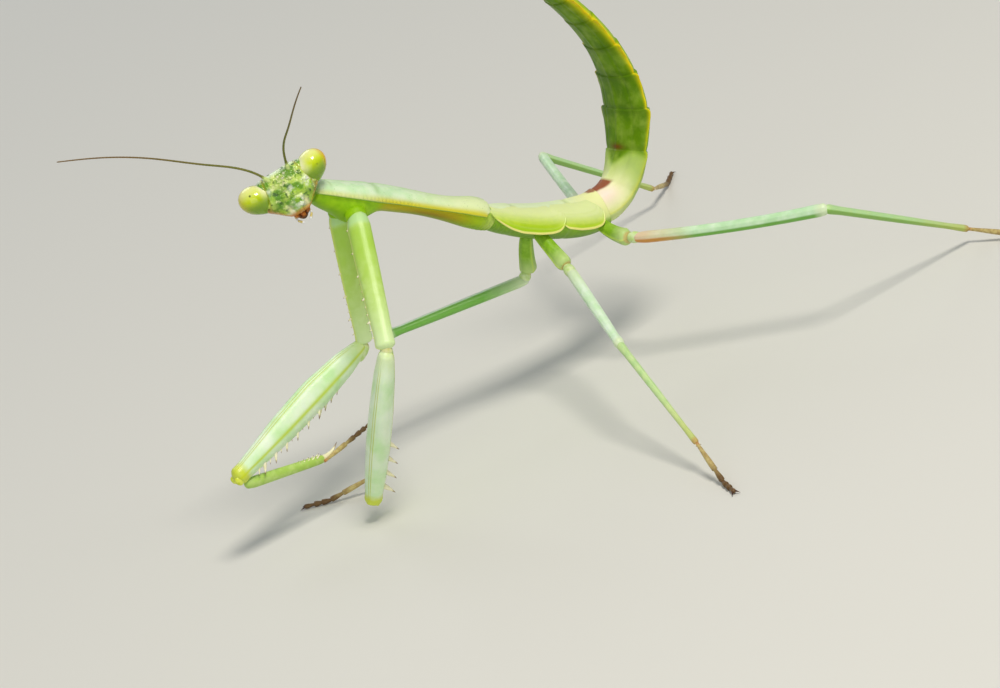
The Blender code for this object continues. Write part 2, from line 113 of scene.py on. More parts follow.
def skin(name, grid, look, along=None, nodes=(), marks=None):
    """Closed mesh over a grid of points, or over each of several grids, tied to the frame.

    Rows join round on themselves and the ends meet in a point. The UV map holds the share of
    the way round, and the distance or share given for each row. Marks are named masks over
    the grid, kept on the points for the material to read.
    """
    grids = grid.reshape(-1, *grid.shape[-3:])
    count, rows, columns = grids.shape[:3]
    along = np.linspace(0, 1, rows) if along is None else along
    points = np.concatenate([grids.reshape(count, -1, 3), grids[:, :1].mean(2),
                             grids[:, -1:].mean(2)], 1)
    row, column = (k.ravel() for k in np.indices((rows - 1, columns)))
    nxt, ring = (column + 1) % columns, np.arange(columns)
    quads = np.stack([row * columns + column, row * columns + nxt,
                      (row + 1) * columns + nxt, (row + 1) * columns + column], 1)
    last, tail = rows * columns, (rows - 1) * columns
    after = (ring + 1) % columns
    faces = [quads, np.stack([after, ring, np.full(columns, last)], 1),
             np.stack([tail + ring, tail + after, np.full(columns, last + 1)], 1)]
    share, step = column / columns, (column + 1) / columns
    uv = [np.stack([np.stack([share, step, step, share], 1),
                    along[np.stack([row, row, row + 1, row + 1], 1)]], -1),
          np.stack([np.stack([ring + 1, ring, ring + 0.5], 1) / columns,
                    np.full((columns, 3), along[0])], -1),
          np.stack([np.stack([ring, ring + 1, ring + 0.5], 1) / columns,
                    np.full((columns, 3), along[-1])], -1)]
    thirds = np.vstack([quads[:, :3], quads[:, [0, 2, 3]], *faces[1:]])
    a, b, c = (points[0][thirds[:, k]] - points[0, 0] for k in range(3))
    if np.sum(a * np.cross(b, c)) < 0:  # the volume came out negative: turn the faces over
        faces, uv = [part[:, ::-1] for part in faces], [part[:, ::-1] for part in uv]
    shift = np.arange(count)[:, None, None] * points.shape[1]
    mesh = bpy.data.meshes.new(name)
    mesh.from_pydata(points.reshape(-1, 3) * MM, [],
                     [face for part in faces
                      for face in (part + shift).reshape(-1, part.shape[1]).tolist()])
    mesh.uv_layers.new(name="UVMap").data.foreach_set(
        "uv", np.concatenate([np.tile(part.ravel(), count) for part in uv]))
    for mark_name, mask in (marks or {}).items():
        mask = np.broadcast_to(mask, (rows, columns))
        values = np.concatenate([mask.ravel(), [mask[0].mean(), mask[-1].mean()]])
        mesh.attributes.new(mark_name, "FLOAT", "POINT").data.foreach_set("value", values)
    mesh.shade_smooth()
    mesh.materials.append(look["paint"])
    piece = bpy.data.objects.new(name, mesh)
    bpy.context.scene.collection.objects.link(piece)
    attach(piece, "root")
    if nodes:
        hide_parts(*nodes)


def colour(code):
    """sRGB hex to linear RGBA: c/12.92 up to 0.04045, else ((c + 0.055)/1.055)^2.4."""
    values = np.array([int(code[k:k + 2], 16) for k in (1, 3, 5)]) / 255
    linear = np.where(values > 0.04045, ((values + 0.055) / 1.055) ** 2.4, values / 12.92)
    return (*linear.tolist(), 1.0)


def add(tree, kind, inputs=None, stops=None, **settings):
    """Add a node: settings set its fields, inputs set or link its sockets, stops its ramp."""
    made = tree.nodes.new("ShaderNode" + kind)
    for field, value in settings.items():
        setattr(made, field, value)
    for socket, value in (inputs or {}).items():
        if isinstance(value, bpy.types.NodeSocket):
            tree.links.new(value, made.inputs[socket])
        else:
            made.inputs[socket].default_value = value
    if stops:
        ramp = made.color_ramp
        while len(ramp.elements) < len(stops):
            ramp.elements.new(1.0)
        for element, (spot, value) in zip(ramp.elements, stops):
            element.position, element.color = spot, (value, value, value, 1)
    return made


def cuticle(name, tint, mottle, size, rough, grain=0.035, relief=0.006, soft=0.10, gloss=0.35,
            coat=(0.0, 0.03)):
    """Insect cuticle: a wax-smooth shell over lighter tissue that light enters a little way.

    The tint varies to the mottle colour in patches of the given size in mm, and a fine grain,
    drawn about twice as coarse as the real one so that it shows, breaks the gloss. The coat
    is a clear wet film's weight and roughness.
    """
    paint = bpy.data.materials.new(name)
    paint.use_nodes = True
    tree = paint.node_tree
    tree.nodes.clear()
    spot = add(tree, "TexCoord").outputs["Object"]
    patches = add(tree, "TexNoise", {"Vector": spot, "Scale": 1 / (size * MM), "Detail": 3.0})
    mask = add(tree, "ValToRGB", {"Fac": patches.outputs["Fac"]},
               stops=((0.38, 0), (0.66, 1))).outputs["Color"]
    base = add(tree, "Mix", {"Factor": mask, "A": colour(tint), "B": colour(mottle)},
               data_type="RGBA")
    pits = add(tree, "TexNoise", {"Vector": spot, "Scale": 1 / (grain * MM), "Detail": 2.0})
    bump = add(tree, "Bump", {"Height": pits.outputs["Fac"], "Strength": 1.0,
                              "Distance": relief * MM})
    shell = add(tree, "BsdfPrincipled", {
        "Base Color": base.outputs[2], "Roughness": rough, "IOR": 1.52,
        "Specular IOR Level": gloss, "Normal": bump.outputs["Normal"],
        "Subsurface Weight": soft, "Subsurface Radius": (0.9, 1.0, 0.35),
        "Subsurface Scale": 0.25 * MM, "Coat Weight": coat[0], "Coat Roughness": coat[1]})
    add(tree, "OutputMaterial", {"Surface": shell.outputs["BSDF"]})
    along = add(tree, "SeparateXYZ", {"Vector": add(tree, "UVMap").outputs["UV"]}).outputs["Y"]
    return {"paint": paint, "tree": tree, "spot": spot, "shell": shell,
            "colour": base.outputs[2], "along": along}


def zone(look, ramp, wobble=0.0, size=0.3, value=None):
    """A mask along the piece, or over another value: 0 at the ramp's first place, 1 at its second.

    With four places it stays 1 up to the third and is 0 again at the fourth. A wobble moves
    its edge about by noise of the given size in mm.
    """
    tree, value = look["tree"], look["along"] if value is None else value
    if wobble:
        noise = add(tree, "TexNoise", {"Vector": look["spot"], "Scale": 1 / (size * MM)})
        shift = add(tree, "MapRange", {"Value": noise.outputs["Fac"], "To Min": -wobble,
                                       "To Max": wobble}).outputs[0]
        value = add(tree, "Math", {0: value, 1: shift}, operation="ADD").outputs[0]
    stops = sorted(zip(ramp, (0, 1, 1, 0)))
    return add(tree, "ValToRGB", {"Fac": value}, stops=stops).outputs["Color"]


def clouds(look, size, ramp, detail=3.0, seed=None, swirl=0.0):
    """A mask of soft patches of the given size in mm; each seed has patches of its own."""
    noise = add(look["tree"], "TexNoise", {
        "Vector": look["spot"], "Scale": 1 / (size * MM), "Detail": detail, "Distortion": swirl,
        **({"W": seed} if seed else {})}, noise_dimensions="4D" if seed else "3D")
    return zone(look, ramp, value=noise.outputs["Fac"])


def stain(look, *layers):
    """Lay colours over a look in turn, each (mask, colour, *factors that the mask is times).

    A mask is a mark's name, a socket, or a ramp along the piece.
    """
    tree = look["tree"]
    for mask, code, *factors in layers:
        if isinstance(mask, str):
            mask = add(tree, "Attribute", attribute_name=mask).outputs["Fac"]
        elif isinstance(mask, tuple):
            mask = zone(look, mask)
        for factor in factors:
            mask = add(tree, "Math", {0: mask, 1: factor}, operation="MULTIPLY").outputs[0]
        look["colour"] = add(tree, "Mix", {"Factor": mask, "A": look["colour"],
                                           "B": colour(code)}, data_type="RGBA").outputs[2]
    tree.links.new(look["colour"], look["shell"].inputs["Base Color"])


# The middle line of thorax and abdomen is one curve from the neck back to the tail. Each
# block has a length and a pitch going backwards; a ring has its half widths in front and
# behind as well, and its half heights above and below the line.
THORAX = ((10.2, -34), (4.75, -29), (2.6, -13))
WAIST = np.array([0.0, 2.6, 7.7])
RINGS = ((1.5, 21, 1.00, 1.25, 1.46, 0.72), (2.1, 55, 1.28, 1.70, 1.24, 0.70),
         (2.2, 69, 1.66, 2.02, 0.70, 0.72), (1.9, 85, 1.88, 1.75, 0.62, 0.72),
         (1.8, 100, 1.62, 1.50, 0.58, 0.68), (1.9, 112, 1.38, 1.32, 0.52, 0.66),
         (1.7, 120, 1.24, 1.20, 0.48, 0.62), (1.2, 126, 1.10, 1.02, 0.44, 0.56),
         (1.1, 130, 0.88, 0.50, 0.38, 0.46))
OVERHANG = 0.6  # the line runs on this far past both ends
lengths, pitches = np.array([*THORAX, *(r[:2] for r in RINGS)]).T
pitches = np.radians(pitches)
joints = np.concatenate([[0], np.cumsum(lengths)])
corners = np.stack([0 * lengths, lengths * np.cos(pitches), lengths * np.sin(pitches)], 1)
corners = np.vstack([[0, 0, 0], np.cumsum(corners, axis=0)])
corners += WAIST + MIDDLE - corners[len(THORAX)]
fine = np.linspace(-OVERHANG, joints[-1] + OVERHANG, 1500)
between = np.linspace(0.15, 0.85, 5)[:, None]  # these keep the pronotum's stretch straight
run_at = np.concatenate([[0], lengths[0] * between[:, 0], joints[1:]])
run_points = np.vstack([corners[:1], corners[0] + (corners[1] - corners[0]) * between,
                        corners[1:]])
# The back is fuller than the belly, so the dressed thorax rides a little above the line.
run_points[:, 2] += np.interp(run_at, (0, 3, 9.5, 11, 15, 17.6),
                              (0.12, 0.17, 0.24, 0.20, 0.16, 0.0))
run = spline(fine, run_at, run_points)
lead = unit(np.gradient(run, axis=0))


def body_line(at):
    """Points on the body's middle line with its side and its upward directions there."""
    centre, way = (np.stack([np.interp(at, fine, curve[:, k]) for k in range(3)], 1)
                   for curve in (run, lead))
    way, side = unit(way), np.tile([1.0, 0, 0], (len(at), 1))
    return centre, side, np.stack([0 * at, -way[:, 2], way[:, 1]], 1)


CLEARANCE = 0.05  # the skin stays this far inside each ring's solid
rings = len(RINGS)
turn = circle(128)
cos, sin, off_keel = np.cos(turn), np.sin(turn), np.abs(turn - np.pi / 2)
shares = np.array([0, 0.015, 0.04, 0.08, 0.14, 0.20, 0.28, 0.36, 0.44, 0.52, 0.60, 0.68, 0.75,
                   0.82, 0.87, 0.91, 0.94, 0.965, 0.985])
ring_no = np.repeat(np.arange(rings), len(shares))
t = np.tile(shares, rings)
t[:len(shares)] = -0.37 + 1.37 * shares  # the first ring starts inside the thorax
front, hind, rise, drop = np.array(RINGS)[ring_no, 2:].T
rise_on, drop_on = np.array(RINGS)[np.minimum(ring_no + 1, rings - 1), 4:].T
wide = front + (hind - front) * np.minimum(t / 0.85, 1) - CLEARANCE
rise = rise + (rise_on - rise) * t - CLEARANCE
drop = drop + (drop_on - drop) * t - CLEARANCE
tuck = 0.035 * (1 - ease(t, 0.0, 0.14)) - 0.012 * hump(t, 0.96, 0.07)
tuck = tuck * np.where(ring_no < 2, 0.35, 1.0)
closing = np.where(ring_no == rings - 1, np.sqrt(np.clip(1 - t ** 4, 0.02, 1)), 1)
opening = np.where(ring_no == 0, 0.95 + 0.05 * ease(t, -0.25, 0.35), 1)
centre, side, up = body_line(joints[len(THORAX) + ring_no] + t * lengths[len(THORAX) + ring_no])
grid = sweep(centre, side, up, *((v - tuck) * closing * opening for v in (wide, rise, drop)),
             turn, edge=1.28)
# Edge lobes: the fold between the plates stands out to a small point at each hind corner.
lobe = 0.13 * ease(t, 0.35, 0.90) * (1 - ease(t, 0.94, 1.0)) * (ring_no > 0)
lobe += 0.05 * np.abs(np.sin(2.5 * np.pi * t)) * (ring_no > 2)
grid[..., 0] += (lobe * closing)[:, None] * (hump(cos, 1, 0.02) - hump(cos, -1, 0.02))
# A keel runs down the back, with a pleat on either side of it.
keel = 0.035 * hump(off_keel, 0, 0.07) * ease(ring_no + t, 0.2, 1.0)[:, None]
pleat = -0.03 * hump(off_keel, 0.62, 0.06)
grid += (up * closing[:, None])[:, None] * (keel + pleat)[..., None]

# Abdomen cuticle: thin and a little dull, leaf green with a pale front, dark joints, a rust saddle
# and a yellow edge. The darker green of the upper plates is painted shade, and soft clouds of
# lighter green over it are a painted sheen.
place = (ring_no + t)[:, None]  # ring number and the share of its length
tergite = ease(sin, 0.03, 0.10)
sway = 0.34 * hump(off_keel, 0, 0.42) + 0.12 * hump(np.abs(cos), 1, 0.2)
late = ease(place, 3.0, 6.5)
abdomen_look = cuticle("abdomen_cuticle", "#86b408", "#98c214", size=0.5, rough=0.42, gloss=0.12)
edge = add(abdomen_look["tree"], "Attribute", attribute_name="edge").outputs["Fac"]
rusty = zone(abdomen_look, (0.55, 1), 0.45, 0.22, edge)
# upper: the darker green of the upper plates, painted shade; the first clouds: a painted sheen.
stain(abdomen_look, ("upper", "#557e00"),
      (clouds(abdomen_look, 0.9, (0.40, 0.66)), "#769f04", 0.5), ("pale", "#e9f0b2"),
      (clouds(abdomen_look, 0.55, (0.45, 0.70), seed=4.0), "#b9cf5c", 0.30),
      ("joint", "#466a00", 0.5), ("blush", "#fbe3da", 0.9), ("saddle", "#8a3418", 0.92),
      ("spot", "#7a2a10", 0.8), ("edge", "#e6df10", 0.95), (rusty, "#d08a14", 0.35),
      ("tip", "#a8542a", 0.6))
skin("abdomen_skin", grid, abdomen_look, ring_no + t, [f"abdomen_{k + 1}" for k in range(rings)],
     marks={
         "upper": tergite * ease(place + sway, 1.9, 2.16),
         "pale": (1 - ease(place + sway, 1.85, 2.10)) * (0.8 + 0.2 * tergite)
                 * (1 - 0.72 * ease(place - 0.5 * sin, 0.35, 1.5)),
         "joint": ease(place, 1.9, 2.1) * (0.8 * hump(t, 0.0, 0.16) + hump(t, 1.0, 0.16))[:, None]
                  * (0.25 + 0.75 * tergite),
         "edge": hump(sin, 0.02, 0.16 + 0.26 * late) * (0.35 + 0.65 * ease(place, 1.8, 3.2)),
         "saddle": (1 - ease(place, 0.95, 1.15))
                   * (1 - ease(off_keel - 0.08 * ease(place, -0.1, 0.9), 0.28, 0.42)),
         "blush": hump(place, 0.15, 0.75) * hump(off_keel, 0.68, 0.50),
         "spot": hump(place, 2.07, 0.07) * hump(off_keel, 0.0, 0.30),
         "tip": ease(place, 7.6, 8.6) * (0.4 + 0.6 * hump(cos, 0, 2))})

# ------------------------------
# Front thorax. The long pronotum is a stiff roof with a fine keel, sharp toothed edges and
# a cross groove over the forelegs; under it hangs the softer skin that carries their coxae.
# ------------------------------
# Place along the body, half width, height of the roof, and depth of the shell's inside.
SHIELD = ((-0.25, 0.82, 0.58, 0.10), (0.15, 0.88, 0.62, 0.12), (1.2, 0.99, 0.68, 0.14),
          (2.65, 1.08, 0.78, 0.14), (3.9, 0.88, 0.80, 0.10), (5.9, 0.72, 0.72, 0.08),
          (8.4, 0.80, 0.73, 0.10), (9.6, 0.90, 0.84, 0.12), (10.25, 0.86, 0.72, 0.12))
TOOTH_PITCH = 0.24
at = np.concatenate([np.linspace(-0.25, 0.15, 10), np.linspace(0.2, 9.9, 190),
                     np.linspace(9.94, 10.25, 12)])
wide, rise, skirt = drawn(at, SHIELD)
bulge = 1 - 0.35 * ease(at, 9.95, 10.25) ** 2 - 0.06 * (1 - ease(at, -0.25, -0.10))
turn = circle(192)
cos, sin, off_keel = np.cos(turn), np.sin(turn), np.abs(turn - np.pi / 2)
centre, side, up = body_line(at)
# Upper half: a roof a little flattened on top; lower half: the inside of the shell.
roof = np.where(sin > 0, np.abs(sin) ** 0.85, -np.abs(sin) ** 0.5)
across = wide[:, None] * np.sign(cos) * np.abs(cos) ** 0.92
height = np.where(roof > 0, (rise * bulge)[:, None] * roof, skirt[:, None] * roof)
groove = hump(at, 3.05, 0.16)[:, None] * ease(sin, 0.15, 0.6)
furrow = hump(at, 0.42, 0.08)[:, None] * ease(sin, 0.3, 0.8)
ridge = hump(off_keel, 0, 0.06) * 0.05 * (1 - 0.3 * groove)
height = height + ridge - 0.014 * groove - 0.014 * furrow
margin = sum(hump(turn, angle, 0.11) for angle in (0.03, 2 * np.pi, np.pi))
teeth = np.abs(np.sin(np.pi * at / TOOTH_PITCH)) ** 3 * (1 - ease(at, 5.0, 6.5))
teeth = (0.05 + 0.05 * teeth) * ease(at, -0.05, 0.3)
across = across + np.sign(cos) * margin * teeth[:, None]
grid = centre[:, None] + side[:, None] * across[..., None] + up[:, None] * height[..., None]
# The hind edge is bowed: its middle reaches further back than its corners.
backward = np.stack([0 * at, up[:, 2], -up[:, 1]], 1)
bow_in = 0.50 * ease(at, 8.8, 10.2)[:, None] * (1 - np.clip(sin, 0, 1))
grid -= backward[:, None] * bow_in[..., None]
# Pronotum cuticle: hard and waxed, a milky mint green with an even soft shine.
pronotum_look = cuticle("pronotum_cuticle", "#c9ebbb", "#dff4d2", size=0.6, rough=0.34)
specks = clouds(pronotum_look, 0.12, (0.66, 0.72), detail=2.0)
# beneath: the inside of the roof, painted a darker green as shade.
stain(pronotum_look, ("rear", "#e4efb4", 0.8), ("keel", "#a9cf8c", 0.6),
      ("groove", "#a5c987", 0.6), ("margin", "#cfc90c", 0.95), ("beneath", "#8db80c", 0.95),
      (specks, "#7f9a3a", 0.35))
skin("pronotum_shield", grid, pronotum_look, at, ["pronotum"], marks={
    "rear": ease(at, 4, 9)[:, None], "keel": hump(off_keel, 0, 0.07),
    "groove": groove + furrow, "beneath": ease(-sin, 0.02, 0.2),
    "margin": hump(sin, 0.02, 0.22) * (0.55 + 0.45 * ease(at, 2, 4))[:, None]})

# Place along the body, half width, height above the line and depth below it.
BELLY = ((-0.2, 0.66, 0.40, 0.50), (0.3, 0.80, 0.50, 0.72), (1.0, 0.88, 0.56, 0.92),
         (1.8, 0.98, 0.60, 1.22), (2.5, 0.98, 0.60, 1.20), (3.0, 0.86, 0.60, 0.92),
         (3.5, 0.78, 0.60, 0.60), (4.3, 0.70, 0.60, 0.46), (5.9, 0.62, 0.60, 0.42),
         (8.2, 0.70, 0.60, 0.60), (9.8, 0.80, 0.60, 0.72), (10.6, 0.72, 0.50, 0.62))
FOLD_PITCH = 0.22
at = np.linspace(-0.2, 10.6, 230)
centre, side, up = body_line(at)
grid = sweep(centre, side, up, *drawn(at, BELLY), turn, edge=0.95)
folds = np.sin(2 * np.pi * at / FOLD_PITCH)
wrinkle = 0.045 * folds * hump(at, 10.2, 0.5)
grid += up[:, None] * (wrinkle[:, None] * ease(-sin, -0.2, 0.4))[..., None]
# Prothorax skin: softer and duller than the roof, lime green with olive behind. Its underside is
# painted a darker green as shade, a dark brown is painted as shade low on its sides, and the folds
# at its hind end are pale skin with painted glints.
belly_look = cuticle("prothorax_skin_cuticle", "#a0d014", "#8cc208", size=0.35, rough=0.42,
                     gloss=0.2)
stain(belly_look, ("olive", "#bcae0a", 0.9), ("rust", "#8a6200", 0.75),
      ("under", "#6c9a06", 0.6), ("fold", "#c9db82", 0.8))
skin("prothorax_skin", grid, belly_look, at, marks={
    "olive": (ease(at, 3.0, 4.0) * (1 - 0.75 * ease(at, 7.8, 9.6)))[:, None],
    "rust": hump(at, 6.6, 1.7)[:, None] * hump(sin, -0.75, 0.45),
    "under": ease(-sin, 0.5, 1.0),
    "fold": (hump(at, 10.25, 0.4) * (0.4 + 0.6 * folds ** 2))[:, None]
            * ease(np.abs(cos), 0.2, 0.7)})

# ------------------------------
# Middle and hind thorax: two softer rings of cuticle, arched above, that carry the walking
# legs. They are joined by a seam, and pucker where they slide under the pronotum.
# ------------------------------
# Place along the body, half width, height above the line and depth below it.
PTEROTHORAX = ((9.9, 0.60, 0.46, 0.52), (10.3, 0.74, 0.60, 0.64), (11.2, 0.86, 0.74, 0.78),
               (13.05, 0.95, 0.85, 0.92), (14.95, 0.94, 1.08, 0.92), (16.2, 0.96, 1.28, 0.86),
               (17.3, 0.94, 1.42, 0.76))
PUCKER_PITCH = 0.26
at = np.linspace(9.9, 17.3, 190)
wide, rise, drop = drawn(at, PTEROTHORAX)
seams = 0.04 * hump(at, 14.95, 0.12) + 0.03 * hump(at, 11.6, 0.14)
centre, side, up = body_line(at)
grid = sweep(centre, side, up, wide - seams, rise - seams, drop - 0.5 * seams, turn, 1.05)
keel = 0.03 * hump(off_keel, 0, 0.07) * (1 - ease(at, 15.5, 16.8))[:, None]
grid += up[:, None] * keel[..., None]
puckers = (0.035 * np.sin(2 * np.pi * at / PUCKER_PITCH) * hump(at, 10.7, 0.7))[:, None]
grid += side[:, None] * (puckers * ease(-sin, -0.3, 0.3) * cos)[..., None]
# Thorax cuticle: semi-hard and fresh green at the sides, pale yellow behind; the paler top is
# painted light and the darker underside painted shade.
thorax_look = cuticle("thorax_cuticle", "#93c41c", "#82b210", size=0.4, rough=0.38)
stain(thorax_look, ("upper", "#dcedc0"), ("hinder", "#eef0aa", 0.85), ("seam", "#a9c668", 0.4),
      ("under", "#5f8a14", 0.7), ("saddle", "#8a3418", 0.85))
skin("thorax_skin", grid, thorax_look, at, ["mesothorax", "metathorax"], marks={
    "upper": ease(sin, 0.15, 0.55), "under": ease(-sin, 0.3, 0.9),
    "hinder": ease(at, 14, 16.5)[:, None] * ease(sin, -0.5, 0.2),
    "seam": np.clip(seams / 0.04, 0, 1)[:, None],
    "saddle": ease(at, 16.45, 16.75)[:, None]
              * (1 - ease(off_keel - 0.16 * ease(at, 16.5, 17.2)[:, None], 0.12, 0.26))})

# ------------------------------
# Wing pads. Four blunt flaps of folded cuticle that grow out of the ring's back without a
# step and droop down its side; a pale thick rim, and the veins of the future wing as ribs.
# ------------------------------
# The rim's place: along the body, out to the side, and up from the body's middle line.
PADS = {"fore": ((10.0, 0.84, 0.20), (10.12, 0.97, 0.02), (10.30, 1.10, -0.13),
                 (10.65, 1.25, -0.32), (11.1, 1.35, -0.50), (11.7, 1.43, -0.62),
                 (12.8, 1.46, -0.63), (13.5, 1.44, -0.57), (13.95, 1.41, -0.45),
                 (14.22, 1.36, -0.22), (14.34, 1.28, 0.04), (14.40, 1.18, 0.26)),
        "hind": ((14.1, 1.12, 0.20), (14.25, 1.30, -0.10), (14.5, 1.39, -0.30),
                 (15.2, 1.42, -0.38), (16.0, 1.37, -0.35), (16.5, 1.29, -0.28),
                 (16.72, 1.22, -0.12), (16.84, 1.12, 0.10), (16.90, 0.98, 0.36))}
SLANT = 0.75  # a pad's root lies up to this far further forward than its rim
PAD_ROWS = 90
SIDES = (("left", 1), ("right", -1))


def followed(x, table):
    """A table's columns read at x on straight lines, with the corners rounded off.

    The rounding is a running average over seven rows with raised-cosine weights.
    """
    table, weights = np.array(sorted(table), float), np.hanning(9)[1:-1] / 4
    return [np.convolve(np.pad(np.interp(x, table[:, 0], column), 3, mode="edge"), weights,
                        "valid") for column in table.T[1:]]


# Wing pad cuticle: young, soft and glossy, yellow-green with a pale rim; the pale crest is painted
# light, and the deeper green lower down towards the rim is painted shade.
pad_look = cuticle("wing_pad_cuticle", "#bfd82c", "#b1cf24", size=0.35, rough=0.30, soft=0.15)
stain(pad_look, ("crest", "#e2edb0", 0.9), ("deep", "#9cc60c", 0.85), ("vein", "#cfe07a", 0.22),
      ("rim", "#f1e98e", 0.95))
span = np.linspace(0, 1, 40)
over = np.concatenate([span, span[::-1]])
sweep_share = (1 - np.cos(np.linspace(0, np.pi, PAD_ROWS))) / 2
ends = np.sqrt(np.clip(1 - np.abs(np.linspace(-1, 1, PAD_ROWS)) ** 10, 0.02, 1))[:, None]
for pair, outline in PADS.items():
    at = outline[0][0] + (outline[-1][0] - outline[0][0]) * sweep_share
    rim_out, rim_up = followed(at, outline)
    root_at = at - SLANT * (ease(at, 12.2, 14.2) if pair == "fore" else 1)
    wide, rise = (np.interp(root_at, *np.array(PTEROTHORAX)[:, [0, k]].T) for k in (1, 2))
    for name, hand in SIDES:
        centre, out, up = body_line(at)
        out = out * hand
        # Across the pad: a cubic from the ring's back, level at first, to the drooping rim.
        root_centre, _, root_up = body_line(root_at)
        root = root_centre + out * (wide * 0.40)[:, None] + root_up * (rise * 0.86)[:, None]
        rim = centre + out * rim_out[:, None] + up * rim_up[:, None]
        length = np.linalg.norm(rim - root, axis=1)[:, None]
        pull = root + unit(out * 0.93 - up * 0.36) * length * 0.42
        push = rim - unit(out * 0.45 - up * 0.89) * length * 0.36
        s = span[None, :, None]
        sheet = (root[:, None] * (1 - s) ** 3 + pull[:, None] * 3 * s * (1 - s) ** 2
                 + push[:, None] * 3 * s ** 2 * (1 - s) + rim[:, None] * s ** 3)
        height = np.sum((sheet - centre[:, None]) * up[:, None], -1)
        outward = unit(np.cross(np.gradient(sheet, axis=1), np.gradient(sheet, axis=0)))
        outward *= np.sign(np.sum(outward * (out + up)[:, None], -1, keepdims=True))
        ribs = sum(hump(span, 0.45 + 0.16 * k + 0.10 * (at[:, None] - at[0]) / 4, 0.030)
                   for k in range(3))
        lift = 0.03 + 0.007 * ribs + 0.035 * hump(span, 0.965, 0.03)
        if pair == "hind":
            lift = lift - 0.10 * (1 - ease(at, 14.1, 14.7))[:, None]
        thick = 0.13 * np.sqrt(np.clip(1 - span ** 6, 0, 1))
        above = sheet + outward * (lift * ends)[..., None]
        below = sheet - outward * (thick * ends)[..., None]
        height, ribs = (np.concatenate([v, v[:, ::-1]], 1) for v in (height, ribs))
        reach = ((at - at[0]) / (at[-1] - at[0]))[:, None]
        fade = (0.93, 0.975) if pair == "fore" else (0.97, 1.0)
        skin(f"wing_pad_{pair}_{name}_flap", np.concatenate([above, below[:, ::-1]], 1), pad_look,
             at, [f"wing_pad_{pair}_{name}"], marks={
                 "rim": ease(over, 0.93, 0.96) * ease(reach, 0.02, 0.10)
                        * (1 - ease(reach, *fade)),
                 "crest": ease(height, -0.25, 0.50), "deep": hump(height, -0.42, 0.25),
                 "vein": ribs})

# ------------------------------
# Head. A hard three-cornered capsule: straight crown, eyes filling its upper corners, a
# raised shield between them, and the lip plates narrowing to the mouth.
# ------------------------------


def toward(heading, pitch):
    """Unit vector: the heading turns it in plan, the pitch lifts it."""
    h, p = np.radians(heading), np.radians(pitch)
    return np.array([np.sin(h) * np.cos(p), -np.cos(h) * np.cos(p), np.sin(p)])


HEAD_CENTRE = np.array([0.32, -14.24, 17.84]) + MIDDLE
ahead, tilt = toward(62, 17), np.radians(11)
leftward = unit(np.cross(UPWARD, ahead))
crownward = np.cross(ahead, leftward)
head_axes = np.stack([leftward * np.cos(tilt) + crownward * np.sin(tilt), -ahead,
                      crownward * np.cos(tilt) - leftward * np.sin(tilt)])
FACE_TURN, FACE_SHIFT = np.radians(6), 0.09


def in_head(points):
    """Points given as (to its left, backwards, up) from the head's centre, put in place."""
    return HEAD_CENTRE + np.asarray(points) @ head_axes


def turned(x, y, angle):
    """A pair of coordinates turned by an angle."""
    return x * np.cos(angle) - y * np.sin(angle), x * np.sin(angle) + y * np.cos(angle)


def in_face(x, y, z):
    """As in_head, for the capsule, which turns and sits a touch further to its left."""
    x, y = turned(x, y, FACE_TURN)
    return in_head(np.stack([x + FACE_SHIFT, y, z], -1))


EYE_OUT, EYE_UP, EYE_LEAN, EYE_RADII = 1.57, -0.11, np.radians(33), (0.88, 0.75, 0.715)
# Height on the head, half width, and depth in front of and behind its middle.
HEAD = ((0.62, 0.70, 0.16, 0.20), (0.60, 1.00, 0.34, 0.40), (0.50, 1.28, 0.50, 0.54),
        (0.30, 1.46, 0.60, 0.66), (0.0, 1.58, 0.65, 0.72), (-0.45, 1.66, 0.68, 0.68),
        (-0.75, 1.62, 0.66, 0.60), (-1.00, 1.38, 0.60, 0.52), (-1.30, 1.02, 0.52, 0.42),
        (-1.55, 0.74, 0.44, 0.34), (-1.72, 0.52, 0.36, 0.28), (-1.78, 0.36, 0.24, 0.2))
level = 0.62 - 2.40 * (1 - np.cos(np.linspace(0, np.pi, 170))) / 2
wide, fore, aft = (v[:, None] for v in followed(level, HEAD))
turn = circle(240)
cos, sin = np.cos(turn), np.sin(turn)
x = wide * np.sign(cos) * np.abs(cos) ** 0.85
y = np.where(sin < 0, fore, aft) * np.sign(sin) * np.abs(sin) ** 0.75
z = np.repeat(level[:, None], len(turn), 1)
beside = np.abs(x)
facing = ease(-sin, 0.05, 0.4)
# Relief of the face: shield with two keels, clypeus, lip, feeler sockets, three ocelli and
# cheek seams, over a faint pebbling.
shield = ease(0.62 - beside, 0, 0.06) * ease(z, -0.50, -0.44) * (1 - ease(z, -0.10, -0.02))
keels = hump(beside, 0.26, 0.035) * ease(z, -0.48, -0.38) * (1 - ease(z, -0.16, -0.06))
clypeus = ease(0.56 - beside, 0, 0.06) * ease(z, -0.92, -0.86) * (1 - ease(z, -0.62, -0.56))
labrum = ease(0.44 - beside - 0.25 * ease(-z, 1.2, 1.7), 0, 0.08) * (1 - ease(z, -1.02, -0.96))
socket = np.hypot(beside - 0.58, z - 0.26)
ocelli = sum(hump(np.hypot(x - a, z - b), 0, 0.06)
             for a, b in ((0, 0.12), (0.17, 0.30), (-0.17, 0.30)))
cheek = hump(beside - 0.85 + 0.3 * (z + 0.9), 0, 0.10) * ease(-z, 0.7, 0.9)
relief = 0.05 * shield + 0.03 * keels + 0.04 * clypeus + 0.07 * labrum + 0.03 * cheek
relief += 0.05 * hump(socket, 0.17, 0.045) - 0.04 * hump(socket, 0, 0.12) + 0.06 * ocelli
relief += 0.012 * np.sin(11 * x + 5 * z) * np.sin(16 * z - 5 * x)
# The face plate ends in a low straight step beside each eye.
step_in = 1.06 - 0.23 * (z + 0.2) - beside
relief += 0.09 * ease(step_in, -0.03, 0.04)
y = y - relief * facing
